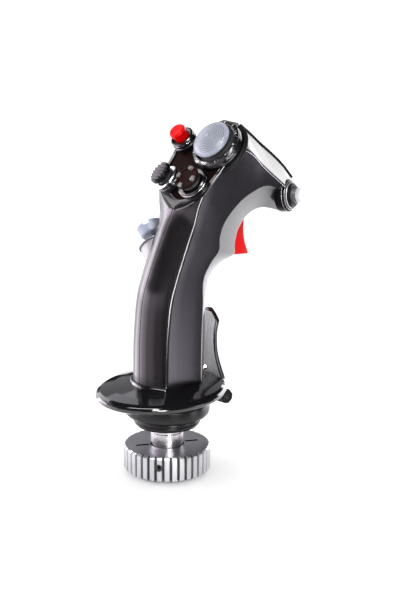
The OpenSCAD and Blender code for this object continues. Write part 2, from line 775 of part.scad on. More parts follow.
module display_hat_switch() {
  color(board_green) on_display() at_pivot() contact_disc();
}

// ---------------------------------------------------------------- side hat, which tilts and pushes
side_cap_z = 5.8;
side_top = 12.3;
module side_hat_cap() {
  r = side_cap_d / 2;
  color(blue_grey) on_side() difference() {
    rotate_extrude($fn = 60) polygon([
      [0, side_cap_z], [r - 1.6, side_cap_z], [r - 0.8, side_cap_z + 0.8], [r - 0.3, side_top - 1.6],
      [r, side_top - 0.9], [r - 0.4, side_top], [0, side_top]
    ]);
    for (a = [45, 135]) {
      rotate([0, 0, a]) translate([-r - over, -1.9, side_top - 1.8]) cube([2 * (r + over), 3.8, 5]);
    }
    translate([0, 0, side_cap_z - over]) cylinder(r = stem_r + fit, h = 3 + over);
  }
}
module side_hat_stem() {
  color(steel) on_side() at_pivot() hat_hub(pivot_depth + side_cap_z + 1.8);
}
module side_hat_gimbal() {
  color(steel) on_side() at_pivot() gimbal_ring();
}
module side_hat_plate() {
  color(steel) on_side() difference() {
    cylinder(r = side_plate_r, h = 0.8);
    translate([0, 0, -over]) cylinder(r = 3.4, h = 4);
    for (a = [0 : 90 : 270]) {
      rotate([0, 0, a]) translate([8.6, 0, -over]) cylinder(r = 0.6, h = 4);
    }
  }
}
module side_hat_boot() {
  color(rubber_black) on_side() rotate_extrude($fn = 48) polygon([
    [3.6, 0.8], [5.4, 0.8], [5.4, 1.3], [4.9, 1.6], [5.1, 2], [4.6, 2.4], [3.6, 2.4]
  ]);
}
module side_hat_housing() {
  color(metal_black) on_side() difference() {
    translate([0, 0, -housing_l]) cylinder(r = side_housing_r, h = housing_l);
    at_pivot() cup_cuts(pivot_depth);
  }
}
module side_hat_switch() {
  color(board_green) on_side() at_pivot() contact_disc();
}

// ---------------------------------------------------------------- release button
module release_button() {
  r = release_d / 2;
  color(signal_red) on_release() rotate_extrude($fn = 60) polygon([
    [0, -4], [3.9, -4], [3.9, 8.2], [r - 0.3, 8.6], [r, 9], [r, 10], [r - 0.6, 10.7],
    [r - 1.6, 11], [0, 11]
  ]);
}
module release_collar() {
  r = release_base_r;
  color(metal_black) on_release() rotate_extrude($fn = 60) polygon([
    [4.2, -9], [release_neck_r, -9], [release_neck_r, release_seat], [r, release_seat], [r, 2.2],
    [r - 0.6, 2.5], [r - 0.6, 3], [r - 0.2, 3.2], [r - 0.2, 5.2], [r - 0.7, 5.6], [r - 1.4, 5.6],
    [r - 1.8, 5.1], [4.2, 5.1]
  ]);
}
module release_spring() {
  color(steel) on_release() translate([0, 0, -8.9]) coil(2.8, 0.3, 4, 4.8);
}
module release_switch() {
  color(board_green) on_release() translate([0, 0, -11.5]) cylinder(r = 5, h = 2.4);
}

// ---------------------------------------------------------------- nose button
module nose_button() {
  r = nose_d / 2;
  color(steel) on_nose() rotate_extrude($fn = 60) polygon([
    [0, -5], [r, -5], [r, 7.7], [r - 0.5, 8.3], [r - 1.2, 8.5], [0, 8.5]
  ]);
}
module nose_collar() {
  r = nose_collar_r;
  color(metal_black) on_nose() rotate_extrude($fn = 72) polygon([
    [4.7, -4], [r, -4], [r, 0.6], [r - 1, 0.9], [r - 1, 1.8], [r - 1.8, 2], [r - 1.8, 2.8],
    [r - 2.8, 3], [r - 2.8, 3.8], [4.7, 3.8]
  ]);
}
module nose_spring() {
  color(steel) on_nose() translate([0, 0, -9.9]) coil(2.8, 0.3, 4, 4.8);
}
module nose_switch() {
  color(board_green) on_nose() translate([0, 0, -12.5]) cylinder(r = 4.6, h = 2.5);
}

// ---------------------------------------------------------------- electronics
board = [18, 1.6, 34];
board_low = [-9, 2.2, 75];
module circuit_board() {
  color(board_green) union() {
    translate(board_low) cube(board);
    translate(board_low + [4, board[1], 18]) cube([8, 1.2, 8]);
    translate(board_low + [5, board[1], 4]) cube([7, 1.6, 6]);
  }
}
harness_y = -3.3;
module wire_harness() {
  color(rubber_black) union() {
    translate([0, harness_y, 12.6]) cylinder(r = 1.8, h = 84);
    translate([-4, harness_y - 1.8, 92]) cube([8, 2.1 - harness_y + 1.8, 5]);
  }
}

grip_shell_left();
grip_shell_right();
head_panel();
handrest_flange();
upper_disc();
lower_disc();
neck_tube();
coupling_nut();
nut_set_screw();
connector_insert();
connector_pins();
index_key();
circuit_board();
wire_harness();
shell_screws();
trigger();
trigger_pin();
trigger_spring();
trigger_switch();
paddle_lever();
paddle_bracket();
bracket_screws();
paddle_pin();
paddle_plunger();
plunger_bush();
paddle_spring();
paddle_switch();
trim_hat_cap();
trim_hat_stem();
trim_hat_gimbal();
trim_hat_bezel();
trim_hat_boot();
trim_hat_housing();
trim_hat_switch();
target_hat_cap();
target_hat_gimbal();
target_hat_collar();
target_hat_housing();
target_hat_switch();
display_hat_cap();
display_hat_gimbal();
display_hat_collar();
display_hat_housing();
display_hat_switch();
side_hat_cap();
side_hat_stem();
side_hat_gimbal();
side_hat_plate();
side_hat_boot();
side_hat_housing();
side_hat_switch();
release_button();
release_collar();
release_spring();
release_switch();
nose_button();
nose_collar();
nose_spring();
nose_switch();
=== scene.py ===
import json
import math

import bmesh
import bpy
import numpy as np
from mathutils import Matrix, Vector


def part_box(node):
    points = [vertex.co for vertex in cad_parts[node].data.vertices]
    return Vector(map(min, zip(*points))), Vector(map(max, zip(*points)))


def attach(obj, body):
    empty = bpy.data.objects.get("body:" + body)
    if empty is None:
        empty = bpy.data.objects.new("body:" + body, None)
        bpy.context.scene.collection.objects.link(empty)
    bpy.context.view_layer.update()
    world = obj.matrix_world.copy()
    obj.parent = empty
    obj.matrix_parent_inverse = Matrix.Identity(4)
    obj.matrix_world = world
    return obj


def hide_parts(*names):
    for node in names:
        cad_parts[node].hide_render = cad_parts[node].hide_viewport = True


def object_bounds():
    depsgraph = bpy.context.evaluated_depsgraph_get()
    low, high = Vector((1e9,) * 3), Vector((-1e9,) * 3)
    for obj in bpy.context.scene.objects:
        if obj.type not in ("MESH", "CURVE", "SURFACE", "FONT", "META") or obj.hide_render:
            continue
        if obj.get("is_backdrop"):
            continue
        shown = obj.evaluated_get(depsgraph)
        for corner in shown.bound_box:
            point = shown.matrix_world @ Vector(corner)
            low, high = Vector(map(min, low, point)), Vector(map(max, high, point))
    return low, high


MM = 0.001
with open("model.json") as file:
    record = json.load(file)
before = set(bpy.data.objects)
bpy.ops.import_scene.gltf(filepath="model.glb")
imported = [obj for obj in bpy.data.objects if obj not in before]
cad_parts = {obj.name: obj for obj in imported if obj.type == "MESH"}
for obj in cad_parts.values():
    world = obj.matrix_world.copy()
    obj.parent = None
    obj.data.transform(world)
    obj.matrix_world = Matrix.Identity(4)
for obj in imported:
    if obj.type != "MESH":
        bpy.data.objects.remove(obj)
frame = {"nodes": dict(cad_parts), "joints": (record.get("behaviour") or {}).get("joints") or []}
nodes = frame["nodes"]
size_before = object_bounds()
joints = {j["name"]: j for j in frame["joints"]}


# ---------------------------------------------------------------- mesh helpers
def bend(start, corner, end, t):
    return (1 - t) ** 2 * start + 2 * t * (1 - t) * corner + t ** 2 * end


def corner(a, p, b, r, steps, share):
    """The turn at p in radians, and the curve that rounds it, taking at most that share of either side."""
    a, p, b = (np.array(v, float) for v in (a, p, b))
    va, vb = a - p, b - p
    la, lb = np.linalg.norm(va), np.linalg.norm(vb)
    va, vb = va / la, vb / lb
    turn = math.acos(max(-1.0, min(1.0, float(-va @ vb))))
    reach = min(r * math.tan(turn / 2), share * la, share * lb)
    return turn, [bend(p + va * reach, p, p + vb * reach, k / steps) for k in range(steps + 1)]


def rounded(points, radii, steps=5):
    """A 2-D polyline whose inner corners are rounded, by one radius or by one for each point."""
    radii = np.broadcast_to(radii, len(points))
    out = []
    for i, p in enumerate(points):
        curve = [p]
        if 0 < i < len(points) - 1 and radii[i] > 0:
            turn, arc = corner(points[i - 1], p, points[i + 1], radii[i], steps, 0.46)
            curve = arc if turn >= 0.02 else curve
        out += [tuple(q) for q in curve]
    return out


def closed_outline(points, radius, steps=4):
    """Closed outline with its corners rounded."""
    out = []
    for i, p in enumerate(points):
        out += rounded([points[i - 1], p, points[(i + 1) % len(points)]], [0, radius, 0], steps)[1:-1]
    return out


def quads(rows, columns, start=0, loop=True, flip=False):
    """Faces between the rows of a grid of points; in a loop each row's last point meets its first."""
    out = []
    for i in range(rows):
        a, b = start + i * columns, start + (i + 1) * columns
        for j in range(columns if loop else columns - 1):
            k = (j + 1) % columns
            out.append((a + j, b + j, b + k, a + k) if flip else (a + j, a + k, b + k, b + j))
    return out


def bare_object(name, verts, faces, mats, scale=1.0):
    mesh = bpy.data.meshes.new(name)
    mesh.from_pydata([tuple(float(c) * scale for c in v) for v in verts], [], faces)
    for m in mats:
        mesh.materials.append(m)
    obj = bpy.data.objects.new(name, mesh)
    bpy.context.scene.collection.objects.link(obj)
    return obj


def mesh_object(name, verts, faces, mats, indices=None, smooth=35):
    obj = bare_object(name, verts, faces, mats, MM)
    if indices is not None:
        obj.data.polygons.foreach_set("material_index", indices)
    return rework(obj, smooth)


def rework(obj, smooth, change=None):
    """Makes a bmesh change, turns the faces outward and shades the mesh."""
    b = bmesh.new()
    b.from_mesh(obj.data)
    if change:
        change(b)
    bmesh.ops.recalc_face_normals(b, faces=b.faces)
    b.to_mesh(obj.data)
    b.free()
    return shade(obj, smooth)


def shade(obj, angle):
    """Smooth shading with sharp edges above an angle in degrees."""
    b = bmesh.new()
    b.from_mesh(obj.data)
    limit = math.radians(angle)
    for e in b.edges:
        e.smooth = not (len(e.link_faces) == 2 and e.calc_face_angle(0) > limit)
    for f in b.faces:
        f.smooth = True
    b.to_mesh(obj.data)
    b.free()
    return obj


def join_doubles(b):
    bmesh.ops.remove_doubles(b, verts=b.verts, dist=1e-6)


def round_edges(obj, width, segments=3, smooth=35, angle=30):
    def bevel(b):
        sharp = [e for e in b.edges if len(e.link_faces) == 2 and e.calc_face_angle(0) > math.radians(angle)]
        bmesh.ops.bevel(b, geom=sharp, offset=width * MM, segments=segments, profile=0.5, affect="EDGES",
                        clamp_overlap=True)

    return rework(obj, smooth, bevel)


class Place:
    """A control's own frame: origin in mm and a rotation, local +Z along its axis."""

    def __init__(self, origin, rotation):
        self.o = np.array(origin, float)
        self.r = np.array(rotation, float)

    def at(self, p):
        return self.o + self.r @ np.array(p, float)

    def moved(self, p):
        return Place(self.at(p), self.r)

    def spun(self, degrees):
        c, s = math.cos(math.radians(degrees)), math.sin(math.radians(degrees))
        return Place(self.o, self.r @ np.array([[c, -s, 0], [s, c, 0], [0, 0, 1]]))


WORLD = Place((0, 0, 0), np.identity(3))
SIDEWAYS = Place((0, 0, 0), [[0, 0, 1], [1, 0, 0], [0, 1, 0]])    # outlines in Y and Z, raised along X


def lathe(name, place, profile, mats, bands=None, segments=128, radii=0.15, closed=True, smooth=35, steps=4):
    """Turned piece from a profile of (r, z); bands gives the material's index at an (r, z)."""
    line = list(profile)
    if closed:
        line.append(line[0])
    last = len(line) - 1
    radii = np.broadcast_to(radii, len(line))
    dense = [line[0]]
    for i in range(1, last):
        dense += rounded(line[i - 1:i + 2], [0, radii[i], 0], steps)[1:-1]
    dense.append(line[last])
    verts, rings = [], []
    for r, z in dense:
        count = 1 if r < 1e-6 else segments
        rings.append(list(range(len(verts), len(verts) + count)))
        for k in range(count):
            a = 2 * math.pi * k / segments
            verts.append(place.at((r * math.cos(a), r * math.sin(a), z)))
    faces, index = [], []
    for j, (a, b) in enumerate(zip(rings, rings[1:])):
        if len(a) == 1 and len(b) == 1:
            continue
        mid = (np.array(dense[j]) + np.array(dense[j + 1])) / 2
        mat = bands(mid[0], mid[1]) if bands else 0
        for k in range(segments):
            n = (k + 1) % segments
            if len(a) == 1:
                faces.append((a[0], b[n], b[k]))
            elif len(b) == 1:
                faces.append((a[k], a[n], b[0]))
            else:
                faces.append((a[k], a[n], b[n], b[k]))
            index.append(mat)
    return rework(mesh_object(name, verts, faces, mats, index, smooth), smooth, join_doubles)


def prism(name, place, outline, low, high, mats, bevel=0.3, segments=3, smooth=35):
    """Outline in the place's XY plane, raised from low to high, with rounded edges."""
    n = len(outline)
    verts = [place.at((x, y, low)) for x, y in outline] + [place.at((x, y, high)) for x, y in outline]
    faces = [list(range(n))[::-1], list(range(n, 2 * n))] + quads(1, n)
    obj = mesh_object(name, verts, faces, mats, None, smooth)
    return round_edges(obj, bevel, segments, smooth) if bevel > 0 else obj


def place_on(obj, body, *replaced, slot=None):
    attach(obj, body)
    if replaced:
        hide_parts(*replaced)
    return obj


def apply_modifiers(obj):
    graph = bpy.context.evaluated_depsgraph_get()
    mesh = bpy.data.meshes.new_from_object(obj.evaluated_get(graph))
    obj.modifiers.clear()
    old = obj.data
    obj.data = mesh
    bpy.data.meshes.remove(old)


# ---------------------------------------------------------------- frames from the record and the CAD nodes
def joint_place(name_x, name_y, lift):
    jx, jy = joints[name_x], joints[name_y]
    x, y = np.array(jx["axis"], float), np.array(jy["axis"], float)
    z = np.cross(x, y)
    rot = np.column_stack([x, y, z])
    return Place(np.array(jx["pos_m"], float) / MM + rot @ np.array([0, 0, lift]), rot)


def axis_place(joint, node, low):
    """Frame of a turned CAD node that slides down its own axis; low is its lowest local z."""
    z = -np.array(joints[joint]["axis"], float)
    side = np.cross((0, 0, 1), z)
    x = np.cross(z, side)
    x = x / np.linalg.norm(x)
    y = np.cross(z, x)
    rot = np.column_stack([x, y, z])
    co = np.array([v.co for v in nodes[node].data.vertices], float) / MM @ rot
    mid = (co.min(0) + co.max(0)) / 2
    return Place(rot @ np.array([mid[0], mid[1], co[:, 2].min() - low]), rot)


PIVOT_DEPTH = 6.5
trim = joint_place("trim_tilt_fore", "trim_tilt_side", PIVOT_DEPTH)
target = joint_place("target_tilt_fore", "target_tilt_side", PIVOT_DEPTH)
display = joint_place("display_tilt_fore", "display_tilt_side", PIVOT_DEPTH)
side = joint_place("side_tilt_fore", "side_tilt_side", PIVOT_DEPTH)
release = axis_place("release_push", "release_button", -4)
nose = axis_place("nose_push", "nose_button", -5)


# ---------------------------------------------------------------- materials
def new_nodes(name):
    mat = bpy.data.materials.new(name)
    mat.use_nodes = True
    tree = mat.node_tree
    return mat, tree, tree.nodes["Principled BSDF"]


def noise(tree, vector, scale, detail=3.0, rough=0.55):
    n = tree.nodes.new("ShaderNodeTexNoise")
    n.inputs["Scale"].default_value = scale
    n.inputs["Detail"].default_value = detail
    n.inputs["Roughness"].default_value = rough
    tree.links.new(vector, n.inputs["Vector"])
    return n.outputs["Fac"]


def stretched(tree, vector, scale):
    m = tree.nodes.new("ShaderNodeMapping")
    m.inputs["Scale"].default_value = scale
    tree.links.new(vector, m.inputs["Vector"])
    return m.outputs["Vector"]


def ranged(tree, value, low, high, from_low=0.3, from_high=0.7):
    r = tree.nodes.new("ShaderNodeMapRange")
    r.inputs["From Min"].default_value = from_low
    r.inputs["From Max"].default_value = from_high
    r.inputs["To Min"].default_value = low
    r.inputs["To Max"].default_value = high
    tree.links.new(value, r.inputs["Value"])
    return r.outputs["Result"]


def mixed(tree, factor, a, b):
    m = tree.nodes.new("ShaderNodeMix")
    m.data_type = "RGBA"
    m.inputs[6].default_value = (*a, 1)
    m.inputs[7].default_value = (*b, 1)
    tree.links.new(factor, m.inputs[0])
    return m.outputs[2]


def finish(name, base, second=None, metallic=0.0, rough=0.4, spread=0.06, grain=900.0, tint=60.0,
           bump=0.004, bump_scale=2600.0, coat=0.0, coat_rough=0.1, turned=None, brushed=None,
           subsurface=0.0, ior=1.5):
    """Procedural finish. grain, tint and bump_scale are noise scales per metre, and bump is a depth in mm.
    turned scales the lathe coordinates instead, and brushed stretches the grain along an axis."""
    mat, tree, bsdf = new_nodes(name)
    if turned:
        attr = tree.nodes.new("ShaderNodeAttribute")
        attr.attribute_name = "turn"
        fine = stretched(tree, attr.outputs["Vector"], turned)
        grain = bump_scale = 1.0
    coord = tree.nodes.new("ShaderNodeTexCoord").outputs["Object"]
    if not turned:
        fine = stretched(tree, coord, brushed) if brushed else coord
    second = second or tuple(min(1.0, c * 1.25 + 0.004) for c in base)
    cloud = noise(tree, coord, tint, 4.0)
    tree.links.new(mixed(tree, ranged(tree, cloud, 0, 1), base, second), bsdf.inputs["Base Color"])
    streak = noise(tree, fine, grain)
    tree.links.new(ranged(tree, streak, rough - spread, rough + spread), bsdf.inputs["Roughness"])
    bsdf.inputs["Metallic"].default_value = metallic
    bsdf.inputs["IOR"].default_value = ior
    bsdf.inputs["Coat Weight"].default_value = coat
    bsdf.inputs["Coat Roughness"].default_value = coat_rough
    if subsurface:
        bsdf.inputs["Subsurface Weight"].default_value = subsurface
        bsdf.inputs["Subsurface Radius"].default_value = (0.002, 0.0006, 0.0004)
        bsdf.inputs["Subsurface Scale"].default_value = 0.5
    if bump:
        b = tree.nodes.new("ShaderNodeBump")
        b.inputs["Strength"].default_value = 1.06
        b.inputs["Distance"].default_value = bump * MM
        tree.links.new(noise(tree, fine, bump_scale, 2.0), b.inputs["Height"])
        tree.links.new(b.outputs["Normal"], bsdf.inputs["Normal"])
    return mat


satin = finish("satin_black", (0.0045, 0.0036, 0.0046), (0.0070, 0.0054, 0.0068), rough=0.21, spread=0.05,
               grain=1400, tint=35, bump=0.002, bump_scale=5200, ior=1.6)
panel_paint = finish("panel_brown", (0.0120, 0.0040, 0.0032), (0.017, 0.0060, 0.0048), rough=0.45,
                     spread=0.05, grain=1600, tint=80, bump=0.006, bump_scale=3800, ior=1.1)
gloss = finish("gloss_black", (0.006, 0.006, 0.007), (0.010, 0.009, 0.011), rough=0.09, spread=0.035,
               grain=260, tint=30, bump=0.0008, bump_scale=900, coat=0.3, coat_rough=0.05, ior=1.6)
disc_paint = finish("disc_black", (0.010, 0.009, 0.010), (0.016, 0.014, 0.016), rough=0.24, spread=0.05,
                    turned=(3.0, 3.0, 3.5), bump=0.0025, ior=1.38)
nut_metal = finish("aluminium", (0.50, 0.50, 0.52), (0.62, 0.62, 0.64), metallic=1.0, rough=0.33,
                   spread=0.10, turned=(1.6, 1.6, 9.0), tint=90, bump=0.006)
nut_face = finish("aluminium_face", (0.36, 0.36, 0.38), (0.44, 0.44, 0.46), metallic=1.0, rough=0.36,
                  spread=0.12, turned=(1.3, 1.3, 11.0), tint=70, bump=0.008)
steel = finish("steel", (0.56, 0.55, 0.56), (0.70, 0.69, 0.70), metallic=1.0, rough=0.24, spread=0.1,
               grain=700, tint=120, bump=0.003)
neck_metal = finish("neck_steel", (0.50, 0.48, 0.50), (0.72, 0.70, 0.72), metallic=1.0, rough=0.27,
                    spread=0.14, turned=(5.0, 5.0, 4.0), tint=260, bump=0.012)
dark_metal = finish("dark_metal", (0.0035, 0.0032, 0.0038), (0.006, 0.0055, 0.006), rough=0.17, grain=1100,
                    tint=110, bump=0.0015, ior=1.7)
# Bright metal for the display hat's collar, and for thin bands and bars that are painted highlights on the
# head's crease and on the target and release collars.
bright_metal_and_highlight = finish("bright_metal_and_painted_highlight", (0.60, 0.59, 0.62), (0.75, 0.74, 0.77), metallic=1.0, rough=0.22,
                    spread=0.08, tint=200, bump=0.002)
insulator = finish("insulator", (0.02, 0.02, 0.02), rough=0.55, bump=0.01)
contacts = finish("contacts", (0.80, 0.60, 0.22), metallic=1.0, rough=0.22, bump=0.002)
board_paint = finish("board", (0.015, 0.10, 0.045), (0.03, 0.16, 0.07), tint=500, bump=0.01)
cable = finish("harness", (0.02, 0.02, 0.022), rough=0.6, grain=500, bump=0.02, bump_scale=1200)
switch_black = finish("switch_black", (0.018, 0.018, 0.02), rough=0.5, bump=0.01)
rubber = finish("rubber", (0.012, 0.011, 0.012), (0.02, 0.018, 0.02), rough=0.62, grain=800, bump=0.012)
red = finish("signal_red", (0.84, 0.0006, 0.0012), (0.74, 0.0005, 0.0010), rough=0.30, spread=0.05,
             tint=150, bump=0.003, ior=1.18)
pale_plastic = finish("pale_cap", (0.32, 0.34, 0.42), (0.38, 0.40, 0.48), rough=0.30, spread=0.07,
                      turned=(1.5, 1.5, 5.0), tint=70, bump=0.012, subsurface=0.1)
brown_cap = finish("brown_cap", (0.0150, 0.0050, 0.0040), (0.021, 0.0075, 0.0060), rough=0.42, grain=1400,
                   tint=160, bump=0.006, ior=1.1)
blue_grey = finish("blue_grey_cap", (0.26, 0.30, 0.40), (0.36, 0.40, 0.50), rough=0.42, grain=1200,
                   tint=140, bump=0.008)
bright_steel = finish("polished_steel", (0.66, 0.66, 0.68), (0.78, 0.78, 0.80), metallic=1.0, rough=0.2,
                      spread=0.07, turned=(1.2, 1.2, 7.0), tint=160)
# Painted shade: a darker pale that stands for the shade in the trim cap's grooves.
cap_groove_shade = finish("cap_groove_shade", (0.11, 0.12, 0.15), (0.16, 0.17, 0.21), rough=0.45, spread=0.05,
                     tint=200)
barrel_metal = finish("barrel_metal", (0.13, 0.13, 0.14), (0.18, 0.18, 0.19), metallic=0.5, rough=0.42,
                      spread=0.08, turned=(1.2, 1.2, 7.0), tint=160)
collar_black = finish("collar_black", (0.003, 0.003, 0.0035), (0.006, 0.0055, 0.006), rough=0.36,
                      grain=1100, tint=110, bump=0.0015, ior=1.22)
# Painted highlight: grey metal for the bands that stand for the bright rings of light on the nose collar's
# steps.
ring_highlight_metal = finish("ring_highlight_metal", (0.46, 0.45, 0.47), (0.60, 0.59, 0.61), metallic=0.5, rough=0.35,
                    spread=0.08, tint=200, bump=0.002)
ridge_black = finish("ridge_black", (0.004, 0.004, 0.0045), (0.007, 0.0065, 0.007), rough=0.2, grain=1100,
                     tint=110, bump=0.0015, ior=1.24)
tip_white = finish("tip_white", (0.60, 0.59, 0.61), (0.70, 0.69, 0.71), rough=0.35, spread=0.05, tint=200)
edge_black = finish("edge_black", (0.004, 0.004, 0.0045), (0.007, 0.0065, 0.007), rough=0.5, spread=0.08,
                    tint=140, ior=1.2)
white_cap = finish("white_face", (0.78, 0.78, 0.80), (0.86, 0.86, 0.88), rough=0.35, spread=0.05, tint=200)


def worn_black(name):
    """Black paint rubbed through to bare metal in patches along the edge."""
    mat = finish(name, (0.0035, 0.0035, 0.004), (0.007, 0.0065, 0.007), rough=0.18, grain=1100,
                 tint=140, bump=0.003, ior=1.7)
    tree = mat.node_tree
    bsdf = tree.nodes["Principled BSDF"]
    coord = tree.nodes.new("ShaderNodeTexCoord").outputs["Object"]
    patch = ranged(tree, noise(tree, coord, 190, 5.0, 0.7), 0, 1, 0.56, 0.62)
    colour = bsdf.inputs["Base Color"].links[0].from_socket
    m = tree.nodes.new("ShaderNodeMix")
    m.data_type = "RGBA"
    m.inputs[7].default_value = (0.42, 0.41, 0.43, 1)
    tree.links.new(patch, m.inputs[0])
    tree.links.new(colour, m.inputs[6])
    tree.links.new(m.outputs[2], bsdf.inputs["Base Color"])
    tree.links.new(patch, bsdf.inputs["Metallic"])
    return mat


worn = worn_black("worn_black")
# Painted sheen: light grey with a lengthwise brushed grain, standing for the sheen on the paddle's face
# toward the handle.
paddle_painted_sheen = finish("paddle_painted_sheen", (0.80, 0.79, 0.81), (0.90, 0.89, 0.91), rough=0.42, spread=0.08,
                     brushed=(1.0, 1.0, 0.12), grain=1500)
prong_metal = finish("prong_metal", (0.16, 0.155, 0.15), (0.24, 0.23, 0.22), metallic=0.85, rough=0.3,
                     spread=0.08, grain=1200, tint=300)
# Painted shade: a dark copy of the metal that stands for the shade in the nut's grooves.
nut_groove_shade = finish("nut_groove_shade", (0.03, 0.03, 0.032), (0.06, 0.06, 0.064), metallic=1.0, rough=0.5,
                     spread=0.1, tint=200, bump=0.006)
# Painted light: grey that stands for the light falling on the side hat's housing.
painted_lit_housing = finish("painted_lit_housing", (0.30, 0.29, 0.31), (0.40, 0.39, 0.41), metallic=0.3, rough=0.42,
                    spread=0.08, grain=1000, tint=200)


# ---------------------------------------------------------------- shells
# One row per station, from the foot to the nose tip: rear Y, rear Z, front Y, front Z, rear flat
# half-width, rear corner half-width, rear corner depth, front corner half-width, front corner depth,
# front flat half-width, back roundness, left flare
STATIONS = np.array([
    [-19.4, 48.0, 17.6, 48.0, 0, 14.3, 7.5, 14.0, 5.0, 10.5, 2.0, 0.0],
    [-19.4, 60.0, 17.6, 59.5, 0, 14.3, 7.5, 14.0, 5.0, 10.5, 2.0, 0.0],
    [-19.0, 80.0, 17.8, 77.0, 0, 14.3, 7.8, 14.0, 5.0, 10.5, 2.0, 0.0],
    [-16.9, 101.0, 18.6, 95.0, 0, 14.3, 8.2, 14.0, 5.0, 10.5, 2.0, 0.0],
    [-12.5, 113.5, 21.8, 108.5, 0, 14.3, 7.8, 14.0, 8.0, 9.5, 2.0, 0.0],
    [-7.5, 124.5, 31.0, 115.3, 0, 14.2, 7.2, 14.0, 12.5, 8.5, 2.0, 0.0],
    [-2.5, 134.5, 41.5, 118.0, 0, 14.2, 6.4, 14.0, 18.0, 8.0, 2.0, 0.3],
    [2.5, 144.0, 42.0, 122.5, 0, 14.2, 5.4, 14.0, 19.0, 8.0, 2.0, 1.0],
    [5.5, 152.5, 42.8, 127.0, 0, 14.6, 4.6, 14.0, 18.5, 8.0, 2.0, 3.5],
    [9.5, 162.5, 44.2, 131.0, 3, 16.0, 5.0, 14.0, 17.0, 8.0, 1.7, 6.5],
    [16.0, 177.0, 46.5, 134.6, 6, 17.6, 8.0, 14.5, 16.0, 8.0, 1.4, 7.5],
    [26.0, 190.0, 49.0, 137.2, 8, 18.6, 10.0, 15.0, 15.5, 8.0, 1.1, 7.0],
    [38.0, 193.0, 53.0, 139.5, 8, 18.6, 16.5, 15.5, 15.0, 8.0, 1.0, 5.0],
    [49.0, 186.0, 57.5, 140.8, 8, 18.2, 18.0, 16.0, 15.0, 8.0, 1.0, 2.5],
    [59.0, 177.6, 62.5, 140.8, 8, 17.8, 16.0, 16.0, 14.0, 8.0, 1.0, 0.5],
    [68.3, 170.2, 68.5, 139.3, 8, 17.0, 14.5, 15.8, 12.0, 8.0, 1.0, 0.0],
    [76.0, 163.4, 74.5, 137.2, 8, 15.8, 12.5, 15.0, 10.5, 8.0, 1.0, 0.0],
    [82.0, 156.8, 79.0, 136.0, 8, 14.6, 9.5, 14.0, 8.5, 8.5, 1.0, 0.0],
    [86.3, 151.6, 83.5, 136.4, 8.5, 13.6, 6.5, 13.2, 6.0, 9.0, 1.0, 0.0],
    [88.6, 147.8, 87.0, 139.0, 9, 12.6, 3.6, 12.3, 3.4, 9.5, 1.0, 0.0],
    [89.3, 145.0, 88.8, 141.8, 10, 11.5, 1.2, 11.3, 1.2, 10.0, 1.0, 0.0],
], float)
LAST = len(STATIONS) - 1
HOLLOW_END = 16       # station where the cavity ends
WALL = 2.4
ROWS_PER_STATION = 7
BACK = 18             # points across half of the rounded back


def spline(rows, u):
    """Smooth curve through the rows of a table, at a place counted in rows."""
    last = len(rows) - 1
    i = min(int(u), last - 1)
    t = u - i
    a, b, c, d = (rows[min(max(i + k, 0), last)] for k in (-1, 0, 1, 2))
    return (2 * b + (c - a) * t + (2 * a - 5 * b + 4 * c - d) * t * t + (3 * b - a - 3 * c + d) * t ** 3) / 2


def half_section(s, flare, inset):
    """(half-width, depth from the rear) from the rear centre to the front centre."""
    depth = math.hypot(s[2] - s[0], s[3] - s[1])
    w = flare * s[11]
    flat = s[4] + w * s[4] / 18
    wide = s[5] + w - inset
    arc = [np.array([max(flat + (wide - flat) * q, 0.35), inset + s[6] * q ** s[10]])
           for q in np.arange(BACK + 1) / BACK]
    side_low = np.array([s[7] + w * 0.6 - inset, depth - s[8] - inset / 3])
    flat_end = np.array([s[9] + w * 0.3 - inset * 0.7, depth - inset])
    centre = np.array([0.0, depth - inset])
    lip = 0.0 if inset else 0.22          # softened edge on the parting plane
    out = [np.array([0.0, inset + lip]), np.array([0.12, inset + lip * 0.3])]
    out += arc[:-3]
    back = next(k for k in range(BACK, 0, -1) if np.linalg.norm(arc[k] - arc[-1]) > 1.6 or k == BACK - 3)
    start = arc[-1] + (arc[back] - arc[-1]) * min(1.0, 1.1 / np.linalg.norm(arc[back] - arc[-1]))
    out += [bend(start, arc[-1], arc[-1] + (side_low - arc[-1]) * 0.06, t) for t in np.linspace(0, 1, 6)]
    out += [arc[-1] * (1 - t) + side_low * t for t in (0.3, 0.5, 0.7)]
    out += corner(arc[-1] * 0.3 + side_low * 0.7, side_low, flat_end, 2.6, 5, 0.45)[1]
    out += corner(side_low * 0.6 + flat_end * 0.4, flat_end, centre, 2.2, 5, 0.45)[1]
    out += [np.array([flat_end[0] * 0.5, depth - inset]), np.array([0.12, depth - inset - lip * 0.3]),
            np.array([0.0, depth - inset - lip])]
    return out


def ring(u, flare, inset, sign):
    """One half's section at a station, set back from the outer skin by the inset."""
    s = spline(STATIONS, u)
    rear, front = s[0:2], s[2:4]
    direction = (front - rear) / np.linalg.norm(front - rear)
    out = []
    for w, d in half_section(s, flare, inset):
        out.append((sign * w, *(rear + direction * d)))
    return out


def skin(end, flare, inset, sign):
    """Sections from the foot to a station, and how many rows of faces they make."""
    rows = end * ROWS_PER_STATION
    return [p for u in np.linspace(0, end, rows + 1) for p in ring(u, flare, inset, sign)], rows


